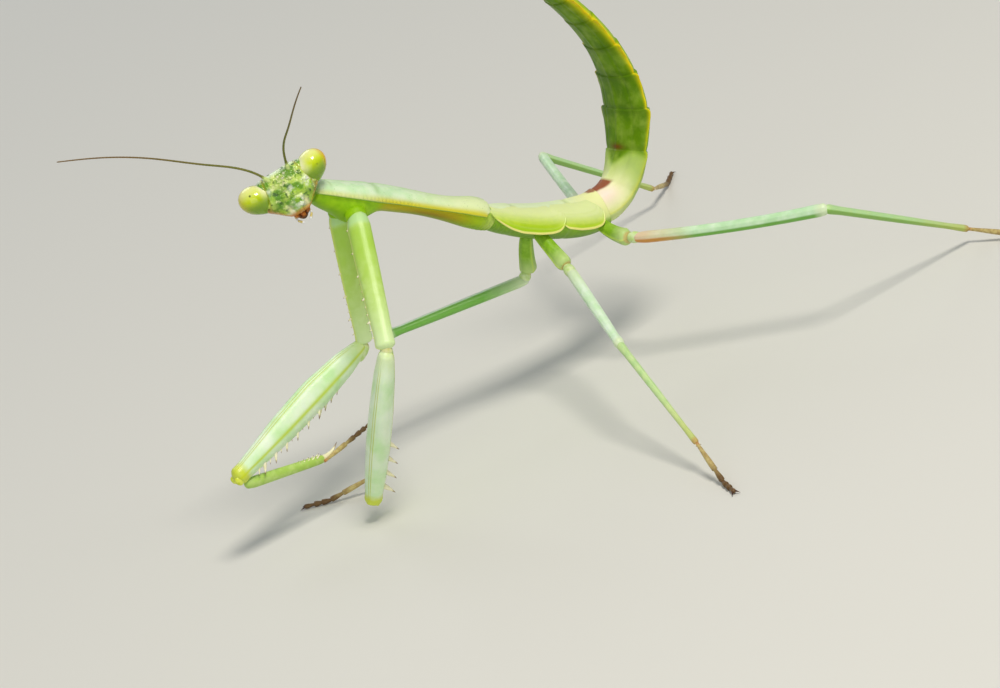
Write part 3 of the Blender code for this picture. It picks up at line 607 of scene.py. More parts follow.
# A low rim stands round each eye: how far out of the eye's ellipsoid a point of the face
# lies, 1 on its surface, sets it.
in_eye = *turned(beside - EYE_OUT, z - EYE_UP, -EYE_LEAN), y
outside = np.sqrt(sum((v / EYE_RADII[k]) ** 2 for v, k in zip(in_eye, (0, 2, 1))))
y = y * (1 + 0.05 * hump(outside, 1.05, 0.045))
sulci = hump(beside, 0.50, 0.035) + hump(beside, 0.92, 0.035)
z = z - 0.035 * sulci * ease(level, 0.1, 0.5)[:, None]


def dabs(*spots):
    """Round patches on the face, each (to its left, up, size) or with a strength as well."""
    return np.clip(sum((strength or [1])[0] * hump(np.hypot(x - a, z - b), 0, size)
                       for a, b, size, *strength in spots), 0, 1) * facing


# Face cuticle: thin, wet-looking and mottled, so the greens lie in blotches under a coat. The
# white gleam patches are painted highlights, and the whitish crown is a pale band with painted
# rim light.
face_look = cuticle("face_cuticle", "#a3cc26", "#bcd95e", size=0.40, rough=0.22, grain=0.18,
                    relief=0.09, soft=0.12, coat=(0.4, 0.12))
stain(face_look, ("brow", "#d6e486", 0.7),
      (clouds(face_look, 0.50, (0.54, 0.42), swirl=0.6), "#5a9400", 0.9),
      ("deep", "#4c8200", 0.8), ("crown", "#dff0d0", 0.9),
      (clouds(face_look, 0.26, (0.57, 0.64), 2.0, seed=9.0), "#335f00", 0.85),
      (clouds(face_look, 0.30, (0.56, 0.64), 2.5, seed=3.0), "#ecf2ae", 0.6),
      # gleam: white patches painted as highlights.
      ("gleam", "#fbfdf2", clouds(face_look, 0.30, (0.42, 0.54), 2.5, seed=3.0), 0.95),
      ("rim", "#b9ae34", 0.6), ("lip", "#f0e8b8", 0.7), ("ocellus", "#f4f2d0", 0.9),
      ("amber", "#c2700e", 0.85))
skin("head_shell", in_face(x, y, z), face_look, level, ["head"], marks={
    "crown": ease(z, 0.36, 0.56), "rim": hump(step_in, -0.02, 0.05) * facing,
    "brow": dabs((0.45, 0.1, 0.5), (-0.45, 0.1, 0.4)),
    "deep": dabs((-0.76, -0.9, 0.34), (0.78, -1.1, 0.25, 0.8), (-0.35, -0.35, 0.28, 0.7)),
    "gleam": dabs((1.0, -0.58, 0.26), (0.15, -1.3, 0.26), (-0.42, -1.5, 0.2, 0.6),
                  (0.1, -0.5, 0.2, 0.6), (-0.95, -0.1, 0.16, 0.5)),
    "lip": ease(-z, 1.05, 1.35) * facing * hump(beside, 0.45, 0.12),
    "ocellus": np.clip(ocelli, 0, 1) * facing,
    "amber": np.clip(ease(-z, 1.50, 1.72)
                     + 0.9 * ease(-z, 0.30, 0.95) * hump(sin, -0.26, 0.26), 0, 1)})

# ------------------------------
# Neck. Soft folded skin, pushed into thirteen half waves, that joins the head to the
# pronotum and lets the head turn.
# ------------------------------
NECK_ROWS = 60


def steer(path, hint):
    """A path's directions, and the side and upward directions that stand square to them."""
    way = unit(np.gradient(path, axis=0))
    up = unit(hint - way * (way @ hint)[:, None])
    return way, np.cross(way, up), up


def tube(path, hint, radius, count):
    """A round section of the given radii carried along a path."""
    _, side, up = steer(path, hint)
    return sweep(path, side, up, radius, radius, radius, circle(count))


neck_from, neck_to = body_line(np.array([0.35]))[0][0], in_head([-0.1, 0.35, -0.35])
path = neck_from + (neck_to - neck_from) * np.linspace(0, 1, NECK_ROWS)[:, None]
folds = 0.44 + 0.02 * np.sin(np.linspace(0, 13 * np.pi, NECK_ROWS))
# Neck skin: leathery and unwaxed, so it is the dullest green on the body.
neck_look = cuticle("neck_skin", "#8fb834", "#a9c75c", size=0.2, rough=0.5)
skin("neck_folds", tube(path, UPWARD, folds, 64), neck_look, nodes=["neck"])

# ------------------------------
# Eyes. Each is a dome of some thousands of facets, glassy and lit from within, lime green; the
# paler crown and a cream band by the face are painted light, the darker lower part painted shade,
# and the small dark spot is painted where the facets look straight at the viewer.
# ------------------------------
# Eye facets: clear and polished, so they take a sharp highlight over the lime colour.
eye_look = cuticle("eye_facets", "#cbdc0a", "#bed208", size=0.7, rough=0.16, grain=0.05,
                   relief=0.002, soft=0.15, coat=(0.6, 0.06))
# crown and band: painted highlights; cheek: painted shade; spot: the painted dark spot.
stain(eye_look, ("crown", "#f3f5a4", 0.85), ("cheek", "#6f9600", 0.95),
      ("band", "#f6f6cc", 0.85), ("rear", "#eea206", 0.8), ("spot", "#2a3a08", 0.9))
polar, turn = np.linspace(0.0, np.pi, 100)[1:-1, None], circle(128)
for name, hand, pupil, warm, dark in (("left", 1, (0.30, -0.95, -0.10), 1.0, 0.35),
                                      ("right", -1, (-0.30, -0.88, 0.42), 0.3, 1.0)):
    x, y, z = np.cos(polar), np.sin(polar) * np.sin(turn), np.sin(polar) * np.cos(turn)
    # The half towards the face is a straight-sided stub that fills the head's corner.
    tall = 1 / np.maximum(np.sin(polar), 0.05) * (0.55 + 0.45 * np.sin(polar))
    x, y, z = (v * r for v, r in zip((x + 0 * turn, y, z * np.where(x < 0, tall, 1)), EYE_RADII))
    x, z = turned(x, z, EYE_LEAN)
    off_pupil = np.linalg.norm(unit(np.stack([x * hand, y, z], -1)) - unit(np.array(pupil)),
                               axis=-1)
    skin(f"eye_{name}_dome", in_face(hand * (x + EYE_OUT), y, z + EYE_UP), eye_look, polar[:, 0],
         [f"eye_{name}"], {
             "crown": ease(z, 0.05, 0.72), "cheek": ease(-z, -0.25, 0.42),
             "rear": ease(x + 0.5 * y, 0.15, 0.8) * warm,
             "band": ease(-x, 0.10, 0.50) * ease(z, -0.4, 0.3) * ease(-y, 0.0, 0.2),
             "spot": (1 - ease(off_pupil, 0.05, 0.085)) * dark})

# ------------------------------
# Mouthparts. Hard amber jaws with dark tips behind the lip, and thin jointed palps that
# hang beside them.
# ------------------------------


def apart(a, b):
    """The smaller angle between two directions round a section."""
    return np.abs((a - b + np.pi) % (2 * np.pi) - np.pi)


def limb(name, ends, hint, profile, look, nodes=(), count=64, edge=1.0,
         rows=72, bow=(0, 0, 0), marks=None, keels=()):
    """A limb segment: an oval carried from end to end, blunt at both ends.

    Profile rows are (share, half depth towards the hint, half depth away, half thickness);
    where two depths or all three are the same, they are given once. The ends close as half
    circles as long as the end's thickness. Keels are (angle, height, width) ribs along it.
    A mark is a rule of the share of the length and the angle.
    """
    start, end = ends
    length = np.linalg.norm(end - start)
    share = (1 - np.cos(np.linspace(0, np.pi, rows))) / 2
    path = start + (end - start) * share[:, None]
    path = path + np.asarray(bow) * (4 * share * (1 - share))[:, None]
    _, side, up = steer(path, hint)
    fore, back, thick = followed(share, [(row[0], row[1], row[2] if len(row) > 3 else row[1],
                                          row[-1]) for row in profile])
    close = 1
    for distance, radius in ((share * length, thick[0]), ((1 - share) * length, thick[-1])):
        gone = 1 - np.clip(distance / max(radius, 0.02), 0, 1)
        close = close * np.sqrt(np.clip(1 - gone ** 2, 1e-4, 1))
    angles = circle(count)
    grid = sweep(path, side, up, thick * close, fore * close, back * close, angles, edge)
    spoke = unit(grid - path[:, None])
    for angle, height, width in keels:
        rib = height * hump(apart(angles, angle), 0, width) * close[:, None]
        grid = grid + spoke * rib[..., None]
    skin(name, grid, look, share, nodes,
         {key: rule(share[:, None], angles) for key, rule in (marks or {}).items()})


# Jaw cuticle: hardened and tanned, amber with near-black tips and a hard shine.
amber_look = cuticle("amber_cuticle", "#9a4f08", "#c9790f", size=0.15, rough=0.22)
stain(amber_look, ((0.62, 0.9), "#2c1808", 0.9))
# Palp cuticle: thin and straw coloured, with bluish white ends.
palp_look = cuticle("palp_cuticle", "#b9a34a", "#cfc07c", size=0.2, rough=0.35)
stain(palp_look, ((0.6, 0.8), "#e8ecf2", 0.9))
limb("lower_lip", (in_face(0, 0.06, -1.62), in_face(0, 0.02, -2.12)), ahead,
     ((0, 0.28, 0.28, 0.38), (0.5, 0.24, 0.26, 0.30), (1, 0.10, 0.10, 0.14)),
     amber_look, ["mouthparts"])
for label, hand in SIDES:
    knee = in_face(0.40 * hand, 0.0, -2.02)
    for part, start, end, profile, look, bow in (
            (f"jaw_{label}", in_face(0.42 * hand, -0.14, -1.48),
             in_face(0.12 * hand, -0.16, -1.98),
             ((0, 0.15, 0.14), (0.6, 0.13, 0.12), (1, 0.05)), amber_look, 0.06 * hand),
            (f"palp_{label}_upper", in_face(0.36 * hand, 0.10, -1.66), knee,
             ((0, 0.065), (1, 0.055)), palp_look, 0),
            (f"palp_{label}_tip", knee, in_face(0.16 * hand, -0.10, -2.28),
             ((0, 0.05), (0.7, 0.065), (1, 0.05)), palp_look, 0)):
        limb(part, (start, end), ahead, profile, look, bow=head_axes[0] * bow)

# ------------------------------
# Feelers. A short stout joint, a bead, and a whip of some sixty tiny rings of cuticle, set
# in the sockets of the face.
# ------------------------------
FEELERS = {
    "left": ((0.62, -0.50, 0.28), (0.70, -0.68, 0.60), (0.95, -1.5, 1.25), (1.6, -3.4, 1.9),
             (2.3, -5.6, 2.5), (2.8, -7.4, 2.9), (3.2, -8.9, 3.18)),
    "right": ((-0.45, -0.62, 0.26), (-0.60, -0.70, 0.62), (-1.30, -0.9, 1.55),
              (-2.6, -1.3, 2.6), (-4.6, -1.8, 4.2), (-6.6, -2.2, 5.5), (-8.5, -2.58, 6.44))}
RING_PITCH = 0.16


def travelled(points):
    """Distance gone along a chain of points, from 0 at the first."""
    return np.concatenate([[0], np.cumsum(np.linalg.norm(np.diff(points, axis=0), axis=1))])


# Feeler cuticle: matt from its fine hairs, pale green at the root and brown towards the tip.
feeler_look = cuticle("feeler_cuticle", "#5f6a1c", "#74702c", size=0.3, rough=0.5, soft=0.0)
in_centimetres = add(feeler_look["tree"], "Math", {0: feeler_look["along"], 1: 0.1},
                     operation="MULTIPLY").outputs[0]
tawny = zone(feeler_look, (0.2, 0.7), value=in_centimetres)
stain(feeler_look, ((0.50, 0.34), "#c3d884"), (tawny, "#6e4c22", 0.8))
for name, route in FEELERS.items():
    knots = in_head(route)
    reach = travelled(knots)
    along = np.linspace(0, reach[-1], 520)
    path = spline(along, reach, knots)
    radius = np.interp(along, (0, 0.1, 0.30, 0.34, 0.46, 0.52, 2, 6, reach[-1] - 0.05, reach[-1]),
                       (0.08, 0.11, 0.11, 0.07, 0.08, 0.062, 0.055, 0.042, 0.03, 0.004))
    radius *= 1 - 0.10 * np.abs(np.cos(np.pi * along / RING_PITCH)) ** 6 * (along > 0.55)
    skin(f"feeler_{name}", tube(path, UPWARD, radius, 16), feeler_look, along,
         [f"antenna_{name}_base", f"antenna_{name}_tip"])

# ------------------------------
# Forelegs. Hard, hollow tubes of cuticle hinged end to end: a long coxa toothed down its
# front edge, a knuckle, the deep spined femur, and the tibia, which folds against it and
# ends in a hook.
# ------------------------------
FORELEG = {"coxa": 7.2, "trochanter": 1.0, "femur": 8.7, "tibia": 4.4}
# Headings and pitches of each segment; the edge and the under side say how it is rolled,
# and open is the angle between femur and tibia.
FORELEGS = {
    "left": dict(base=(0.93, -11.45, 14.45), coxa=(52, -44), edge=-29, femur=(-72, -61),
                 under=(-138, 13), open=10.5, tarsus=(110, 60), side=1),
    "right": dict(base=(-0.80, -11.30, 14.45), coxa=(-69, -78), edge=0, femur=(-3, -17),
                  under=(0, -90), open=26, tarsus=(-172, 4), side=-1)}


def square_to(vector, axis):
    """The unit part of a vector that stands square to an axis."""
    return unit(vector - axis * (vector @ axis))


def spikes(name, roots, ways, lengths, radii, look, curl=0.0, lean=(0, 0, 0), columns=10):
    """One mesh of curved cones: each radius shrinks as (1 - t)^0.8 while the tip leans over."""
    roots = np.asarray(roots, float)
    ways, lean = (np.broadcast_to(v, roots.shape) for v in (ways, lean))
    lengths, radii = (np.broadcast_to(v, len(roots))[:, None] for v in (lengths, radii))
    t = np.linspace(0, 1, 9)
    path = roots[:, None] + ways[:, None] * (lengths * t)[..., None]
    path = path + lean[:, None] * (curl * lengths * t ** 2)[..., None]
    side = unit(np.cross(ways, np.where(np.abs(ways[:, :1]) < 0.8, [[1.0, 0, 0]], [[0, 1.0, 0]])))
    angles = circle(columns)[:, None]
    spoke = side[:, None] * np.cos(angles) + np.cross(ways, side)[:, None] * np.sin(angles)
    size = radii * (1 - t) ** 0.8 + 0.004
    skin(name, path[:, :, None] + spoke[:, None] * size[..., None, None], look, t)


def stripe(angles, places, width):
    """Lines along a limb at the given angles round it: 1 on a line, fading beside it."""
    return np.clip(sum(hump(apart(angles, place), 0, width) for place in places), 0, 1)


# Fore coxa cuticle: waxed and even, a fresh green that pales towards the knuckle.
coxa_look = cuticle("fore_coxa_cuticle", "#b4d765", "#c2e084", size=0.5, rough=0.34)
stain(coxa_look, (zone(coxa_look, (0.10, 0.16, 0.30, 0.55), 0.03, 0.6), "#a5cf42", 0.7),
      (zone(coxa_look, (0.03, 0.05, 0.10, 0.13), 0.01), "#b9e0a4", 0.7),
      (zone(coxa_look, (0.60, 0.95), 0.03), "#d8efb4", 0.85), ("edge", "#dbe878", 0.85))
# Fore femur cuticle: hard and glossy over pale tissue, milky mint with yellow keels and soft
# near-white patches painted as highlights.
femur_look = cuticle("fore_femur_cuticle", "#c6ecae", "#d9f3c8", size=0.7, rough=0.26, soft=0.15)
stain(femur_look, (zone(femur_look, (0.16, 0.0), 0.04), "#d6e476", 0.6),
      # The near-white clouds are painted highlights.
      (clouds(femur_look, 1.6, (0.42, 0.62), 1.0, seed=2.0), "#eef9e8", 0.6),
      ("edge", "#bdd436", 0.9), ("keel", "#bfcc44", 0.9),
      (zone(femur_look, (0.905, 0.945), 0.01), "#ccd91c", 0.9))
# Knee lobes: the same hard cuticle, stained a plain yellow.
knee_look = cuticle("foreleg_knee_cuticle", "#ccd92a", "#dce468", size=0.2, rough=0.28)
# Knuckles: smooth hinge cuticle, tan where it comes out of the segment before.
knuckle_look = cuticle("knuckle_cuticle", "#bfdc86", "#d8e8b4", size=0.25, rough=0.32)
stain(knuckle_look, (zone(knuckle_look, (0.25, 0.0), 0.04, 0.2), "#cf9a4a", 0.45))
# Fore tibia cuticle: thin and even, a plain leaf green.
tibia_look = cuticle("fore_tibia_cuticle", "#a6c95a", "#b8d478", size=0.3, rough=0.34)
# Spines: solid, hardened cuticle, ivory with brown tips.
spine_look = cuticle("spine_cuticle", "#ece6b8", "#f3efd2", size=0.2, rough=0.22)
stain(spine_look, ((0.70, 0.90), "#6a3a18", 0.9))
# Foot cuticle: dry and a little dull, straw coloured and darker towards the claws.
tarsus_look = cuticle("tarsus_cuticle", "#c4b476", "#a98f58", size=0.18, rough=0.42)
stain(tarsus_look, (zone(tarsus_look, (0.36, 0.62), 0.08, 0.2), "#5a3a1a", 0.9),
      ((0.06, 0.0), "#c0703a", 0.7))
# Claws: the hardest cuticle of all, dark brown and polished.
claw_look = cuticle("claw_cuticle", "#3a1d10", "#57301a", size=0.2, rough=0.25, soft=0.0)
FOOT_JOINTS = np.array([0, 0.44, 0.62, 0.75, 0.85, 1.0])


def foot(name, route, radius, nodes, hint):
    """A five-jointed foot: each joint swells towards its far end; two claws curve from the last.

    Its path is the route with its corners worn down, each point moved to the mean of itself
    and its neighbours, eight times.
    """
    knots = np.array(route)
    reach = travelled(knots)
    share = np.linspace(0, 1, 140)
    path = np.stack([np.interp(share * reach[-1], reach, knots[:, k]) for k in range(3)], 1)
    for _ in range(8):
        path[1:-1] = (path[:-2] + 2 * path[1:-1] + path[2:]) / 4
    way, side, up = steer(path, hint)
    cell = np.clip(np.searchsorted(FOOT_JOINTS, share, side="right") - 1, 0, 4)
    local = (share - FOOT_JOINTS[cell]) / np.diff(FOOT_JOINTS)[cell]
    size = radius * (0.60 + 0.40 * ease(local, 0.0, 0.85)) * np.where(cell == 4, 0.85, 1)
    size *= np.sqrt(np.clip(1 - np.clip((share - 0.96) / 0.04, 0, 1) ** 2, 0.02, 1))
    skin(name + "_joints", tube(path, hint, size, 32), tarsus_look, share, nodes)
    spikes(name + "_claws", [path[-4] + side[-1] * radius * s for s in (0.4, -0.4)],
           [unit(way[-1] + side[-1] * s) for s in (0.6, -0.6)], 0.30, 0.045, claw_look,
           curl=0.3, lean=-up[-1])


BACK, BELLYWARD = np.pi / 2, 3 * np.pi / 2  # angles towards and away from a limb's hint
for name, pose in FORELEGS.items():
    leg, hand = f"foreleg_{name}", pose["side"]
    base = np.array(pose["base"]) + MIDDLE
    down, thigh = toward(*pose["coxa"]), toward(*pose["femur"])
    under = square_to(toward(*pose["under"]), thigh)
    outer = np.cross(thigh, under)
    outer = outer * np.sign(outer[0] * hand)
    elbow = base + down * FORELEG["coxa"]
    edge_way = square_to(toward(pose["edge"], 0), down)
    sideways = np.array([hand, 0, 0])
    # The hood takes the prothorax skin's painted shade, a little darker all over.
    limb(f"{leg}_coxa_hood", (base - down * 0.75 + sideways * 0.02,
                              base + down * 0.12 + sideways * 0.06), edge_way,
         ((0, 0.36, 0.28), (0.35, 0.54, 0.52, 0.40), (0.8, 0.59, 0.57, 0.43), (1, 0.48, 0.37)),
         belly_look, edge=0.95, marks={"under": lambda share, angles: 0.55})
    start, end = base - down * 0.52 + sideways * 0.16, elbow + down * 0.02
    limb(f"{leg}_coxa_shell", (start, end), edge_way,
         ((0, 0.30, 0.26), (0.05, 0.46, 0.37), (0.11, 0.58, 0.56, 0.43),
          (0.15, 0.57, 0.55, 0.41), (0.35, 0.57, 0.54, 0.38), (0.75, 0.50, 0.49, 0.34),
          (0.90, 0.45, 0.33), (0.95, 0.47, 0.35), (0.985, 0.50, 0.49, 0.37), (1, 0.42, 0.30)),
         coxa_look, [f"{leg}_coxa"], edge=1.15, rows=110,
         keels=((BACK, 0.04, 0.13), (BACK + 2.2, 0.018, 0.26), (BACK - 2.2, 0.018, 0.26)),
         marks={"edge": lambda share, angles: stripe(angles, [BACK], 0.20)})
    share = np.linspace(0.12, 0.90, 15)[:, None]
    long = np.where(np.arange(15) % 3 == 0, 0.20, 0.12)
    spikes(f"{leg}_coxa_teeth", start + (end - start) * share + edge_way * 0.50,
           unit(edge_way + down * 0.35), long, long * 0.36, spine_look)

    knob = elbow + thigh * FORELEG["trochanter"]
    limb(f"{leg}_knuckle", (elbow - thigh * 0.10 + under * 0.06, knob + under * 0.18), under,
         ((0, 0.24), (0.4, 0.38, 0.36, 0.34), (0.8, 0.42, 0.40, 0.36), (1, 0.36, 0.30)),
         knuckle_look, [f"{leg}_trochanter"])

    knee = knob + thigh * FORELEG["femur"]
    lines = [BELLYWARD - 0.32 * hand, BELLYWARD - 0.52 * hand]
    limb(f"{leg}_femur_shell", (elbow + thigh * 0.06 - under * 0.02, knee), under,
         ((0, 0.28, 0.36, 0.30), (0.05, 0.38, 0.48, 0.42), (0.16, 0.60, 0.72, 0.52),
          (0.38, 0.75, 0.90, 0.60), (0.62, 0.69, 0.80, 0.61), (0.82, 0.54, 0.58, 0.53),
          (0.93, 0.46, 0.44), (0.975, 0.48, 0.46), (1, 0.40, 0.42, 0.38)),
         femur_look, [f"{leg}_femur"], edge=1.05, rows=130, count=120,
         keels=(*((line, 0.03, 0.05) for line in lines), (BACK + 0.6, 0.03, 0.12),
                (BACK - 0.6, 0.03, 0.12)),
         marks={"edge": lambda share, angles: stripe(angles, (0.0, np.pi), 0.16),
                "keel": lambda share, angles: stripe(angles, lines, 0.035)
                * ease(share, 0.06, 0.15)})
    for label, sign in (("outer", 1), ("inner", -1)):
        limb(f"{leg}_knee_lobe_{label}",
             (knee - thigh * 0.34 + outer * 0.20 * sign + under * 0.05,
              knee + thigh * 0.10 + outer * 0.22 * sign + under * 0.16), under,
             ((0, 0.20, 0.12), (0.6, 0.28, 0.26, 0.16), (1, 0.20, 0.12)),
             knee_look)
    # Four outer spines, thirteen inner ones by turns long and short, and four long ones
    # between the rows: the share down the femur, out, under, the way and the length.
    lean = unit(under * 0.80 + thigh * 0.60)
    spines = [(0.56 + 0.105 * k, 0.40, 0.16, unit(outer + thigh * 0.55 + under * 0.25), 0.74)
              for k in range(4)]
    spines += [(0.30 + 0.046 * k, -0.28, 0.36, unit(lean - outer * 0.30),
                0.60 if k % 2 else 0.38) for k in range(13)]
    spines += [(0.17 + 0.05 * k, 0, 0.48, lean, 0.50 + 0.09 * k) for k in range(4)]
    share, out, below, ways, long = (np.array(column) for column in zip(*spines))
    roots = knob + (knee - knob) * share[:, None]
    roots = roots + outer * out[:, None] + under * below[:, None]
    spikes(f"{leg}_femur_spines", roots, ways, long, long ** 1.5 * 0.24, spine_look,
           curl=0.15, lean=thigh)

    opening = np.radians(pose["open"])
    shin = unit(under * np.sin(opening) - thigh * np.cos(opening))
    inward = square_to(-under, shin)
    hinge = knee - thigh * 0.22 + under * 0.82
    ankle = hinge + shin * FORELEG["tibia"]
    limb(f"{leg}_tibia_shell", (hinge - shin * 0.10 + inward * 0.22, ankle + shin * 0.12),
         inward, ((0, 0.22, 0.20), (0.12, 0.30, 0.24), (0.50, 0.27, 0.22), (0.88, 0.24, 0.20),
                  (1, 0.20, 0.18)), tibia_look, [f"{leg}_tibia"])
    share = np.linspace(0.2, 0.92, 12)[:, None]
    spikes(f"{leg}_tibia_spines",
           np.vstack([hinge + (ankle - hinge) * share + inward * 0.16 + outer * s
                      for s in (0.10, -0.10)]),
           unit(inward * 0.5 + shin * 0.85), 0.32, 0.055, spine_look)
    spikes(f"{leg}_hook", [ankle + shin * 0.05], shin, 0.95, 0.21, spine_look,
           curl=0.62, lean=inward, columns=16)

    start = ankle - outer * 0.42 - shin * 0.10
    stretch = toward(*pose["tarsus"])
    foot(f"{leg}_foot", [start, start + stretch * 1.8, start + stretch * 3.5], 0.13,
         [f"{leg}_tarsus"], outer)

# ------------------------------
# Walking legs. Plain thin tubes of cuticle hinged end to end: a short hip, a knuckle, the
# femur, the tibia with two spurs, and a five-jointed foot that lies flat on the ground.
# ------------------------------
MID_LEG = {"coxa": 1.9, "femur": 8.1, "tibia": 7.2, "tarsus": 4.3}
HIND_LEG = {"coxa": 1.95, "femur": 10.6, "tibia": 10.6, "tarsus": 5.2}
FOOT_HEIGHT = 0.2
# Where each leg starts, its headings and pitches, and the ankle's height off the ground;
# short draws the knee in along the femur.
WALKING_LEGS = {
    "left_mid": dict(sizes=MID_LEG, base=(1.10, -1.80, 8.10), coxa=(81, -37), femur=(67, -14),
                     tibia=75, ankle=1.5, tarsus=71, short=0.35),
    "right_mid": dict(sizes=MID_LEG, base=(-1.15, -1.80, 7.95), coxa=(-60, -80),
                      femur=(-17, 3), tibia=17, ankle=0.9, tarsus=-48),
    "left_hind": dict(sizes=HIND_LEG, base=(1.15, 1.80, 6.86), coxa=(88, 1), femur=(122, -2),
                      tibia=188, ankle=0.8, tarsus=110),
    "right_hind": dict(sizes=HIND_LEG, base=(-1.22, 1.60, 6.78), coxa=(-142, 9),
                       femur=(-115, 2), tibia=-159, ankle=1.2, tarsus=-138)}
# Hip cuticle: the body's own green, paler at the end, with yellow ridges and a tan rim.
hip_look = cuticle("hip_cuticle", "#7fb01a", "#92c030", size=0.3, rough=0.40)
stain(hip_look, (zone(hip_look, (0.55, 0.88), 0.05), "#c0d88c", 0.8),
      ("edge", "#c9dc5e", 0.6), ((0.955, 0.975), "#d0a468", 0.6))
# Leg cuticle: thin and waxed, pale mint with a grass green painted as shade below; the shins turn
# olive and then tan towards the ankle. Each pair differs a little in its greens.
LEG_LOOKS = {}
for kind, femur_code, femur_fleck, root_code, shin_code, shaded in (
        ("mid", "#cdeec4", "#e2f7de", "#dcecc4", "#cfe6a4", 0.5),
        ("hind", "#bde4b4", "#d6f0d0", "#e2bfa0", "#b2dc9a", 0.8)):
    thigh_look = cuticle(f"{kind}_femur_cuticle", femur_code, femur_fleck, size=0.6, rough=0.32)
    stain(thigh_look, ("under", "#62ac12", 0.9),
          (zone(thigh_look, (0.32, 0.02), 0.05, 0.6), root_code, 0.9),
          *([("root", "#d2860e", 0.85)] if kind == "hind" else []),
          (zone(thigh_look, (0.93, 0.97), 0.01), "#d9eac2", 0.9))
    shin_look = cuticle(f"{kind}_tibia_cuticle", shin_code, "#b9dc96", size=0.5, rough=0.34)
    stain(shin_look, ("under", "#7aac34", shaded),
          (zone(shin_look, (0.55, 0.93), 0.03), "#c6c862", 0.6),
          ((0.95, 0.98), "#c07a42", 0.55))
    LEG_LOOKS[kind] = (thigh_look, shin_look)
FEMUR_PROFILES = {
    "mid": ((0, 0.22), (0.06, 0.31, 0.29), (0.35, 0.31, 0.28), (0.7, 0.28, 0.25),
            (0.90, 0.25, 0.22), (0.95, 0.31, 0.29, 0.27), (1, 0.30, 0.28, 0.24)),
    "hind": ((0, 0.22), (0.06, 0.31, 0.29), (0.35, 0.30, 0.28), (0.7, 0.31, 0.27),
             (0.87, 0.32, 0.27), (0.95, 0.34, 0.33, 0.28), (1, 0.31, 0.28, 0.24))}
SAG = {"mid": 0.0, "hind": -0.16}  # how far the femur's middle hangs
# Leg marks: the underside, painted darker as shade, and the hind femur's orange root.
UNDER_SHADE_AND_ROOT = {"under": lambda share, angles: ease(-np.sin(angles), -0.05, 0.35),
         "root": lambda share, angles: ease(-np.sin(angles), -0.25, 0.25)
         * (1 - ease(share, 0.10, 0.34))}
for name, pose in WALKING_LEGS.items():
    sizes, kind = pose["sizes"], name.split("_")[1]
    thigh_look, shin_look = LEG_LOOKS[kind]
    base = np.array(pose["base"]) + MIDDLE
    hip_way, thigh = toward(*pose["coxa"]), toward(*pose["femur"])
    hip = base + hip_way * sizes["coxa"]
    knee = hip + thigh * sizes["femur"]
    fall = np.degrees(np.arcsin((knee[2] - pose["ankle"]) / sizes["tibia"]))
    ankle = knee + toward(pose["tibia"], -fall) * sizes["tibia"]
    knee = knee - thigh * pose.get("short", 0)
    shin = unit(ankle - knee)
    tread = np.array([0, 0, FOOT_HEIGHT - pose["ankle"]])
    forward = toward(pose["tarsus"], 0)
    sole = ankle + forward * np.sqrt(sizes["tarsus"] ** 2 - tread[2] ** 2) + tread
    upright = UPWARD if abs(hip_way[2]) < 0.9 else np.array([0, 1.0, 0])
    inside = np.array([(base[0] - MIDDLE[0]) * 0.45 + MIDDLE[0], base[1], base[2] + 0.65])
    limb(f"{name}_hip", (inside, hip - hip_way * 0.25), upright,
         ((0, 0.30), (0.3, 0.36, 0.34), (0.7, 0.41, 0.38), (0.93, 0.46, 0.42),
          (0.97, 0.47, 0.43), (1, 0.36, 0.33)),
         hip_look, [f"{name}_coxa"], edge=1.15,
         bow=(base + hip_way * 0.4 - (inside + hip) / 2) * 0.5,
         keels=((0.0, 0.05, 0.14), (2.2, 0.04, 0.18), (4.2, 0.05, 0.16)),
         marks={"edge": lambda share, angles: stripe(angles, [0.0], 0.16)
                + stripe(angles, [4.2], 0.12)})
    limb(f"{name}_knuckle", (hip - hip_way * 0.35, hip + thigh * 0.55), upright,
         ((0, 0.22), (0.5, 0.31), (1, 0.24)), knuckle_look)
    limb(f"{name}_femur_shell", (hip + thigh * 0.1, knee + thigh * 0.10), upright,
         FEMUR_PROFILES[kind], thigh_look, [f"{name}_femur"], rows=100, edge=1.12,
         bow=UPWARD * SAG[kind], keels=((0.6, 0.02, 0.2), (2.54, 0.02, 0.2), (4.7, 0.02, 0.2)),
         marks=UNDER_SHADE_AND_ROOT)
    limb(f"{name}_tibia_shell", (knee - shin * 0.10, ankle), upright,
         ((0, 0.19, 0.18), (0.03, 0.24, 0.22), (0.10, 0.20, 0.19), (0.5, 0.18, 0.17),
          (0.85, 0.14), (0.97, 0.17, 0.16), (1, 0.15)),
         shin_look, [f"{name}_tibia"], rows=100, edge=1.1,
         keels=((1.57, 0.015, 0.25), (4.7, 0.015, 0.25)), marks=UNDER_SHADE_AND_ROOT)
    spikes(f"{name}_spurs", [ankle - shin * 0.12] * 2,
           [unit(shin + np.cross(shin, UPWARD) * s) for s in (0.5, -0.5)], 0.34, 0.05,
           spine_look)
    ball, toe = ankle + (sole - ankle) * 0.62, sole - forward * 0.16
    ball[2], toe[2] = 0.17, 0.15
    foot(f"{name}_foot", [ankle, (ankle + ball) / 2, ball, (ball + toe) / 2, toe],
         0.145, [f"{name}_tarsus"], UPWARD)

# ------------------------------
# Cerci. Two short tapering feelers at the tail, of beaded rings of cuticle with sensing
# hairs too fine to see.
# ------------------------------
SPLAY, CERCUS_LENGTH = np.radians(24), 1.75
tail, _, tail_up = (v[0] for v in body_line(joints[-1:]))
tail_way = np.array([0, np.cos(pitches[-1]), np.sin(pitches[-1])])
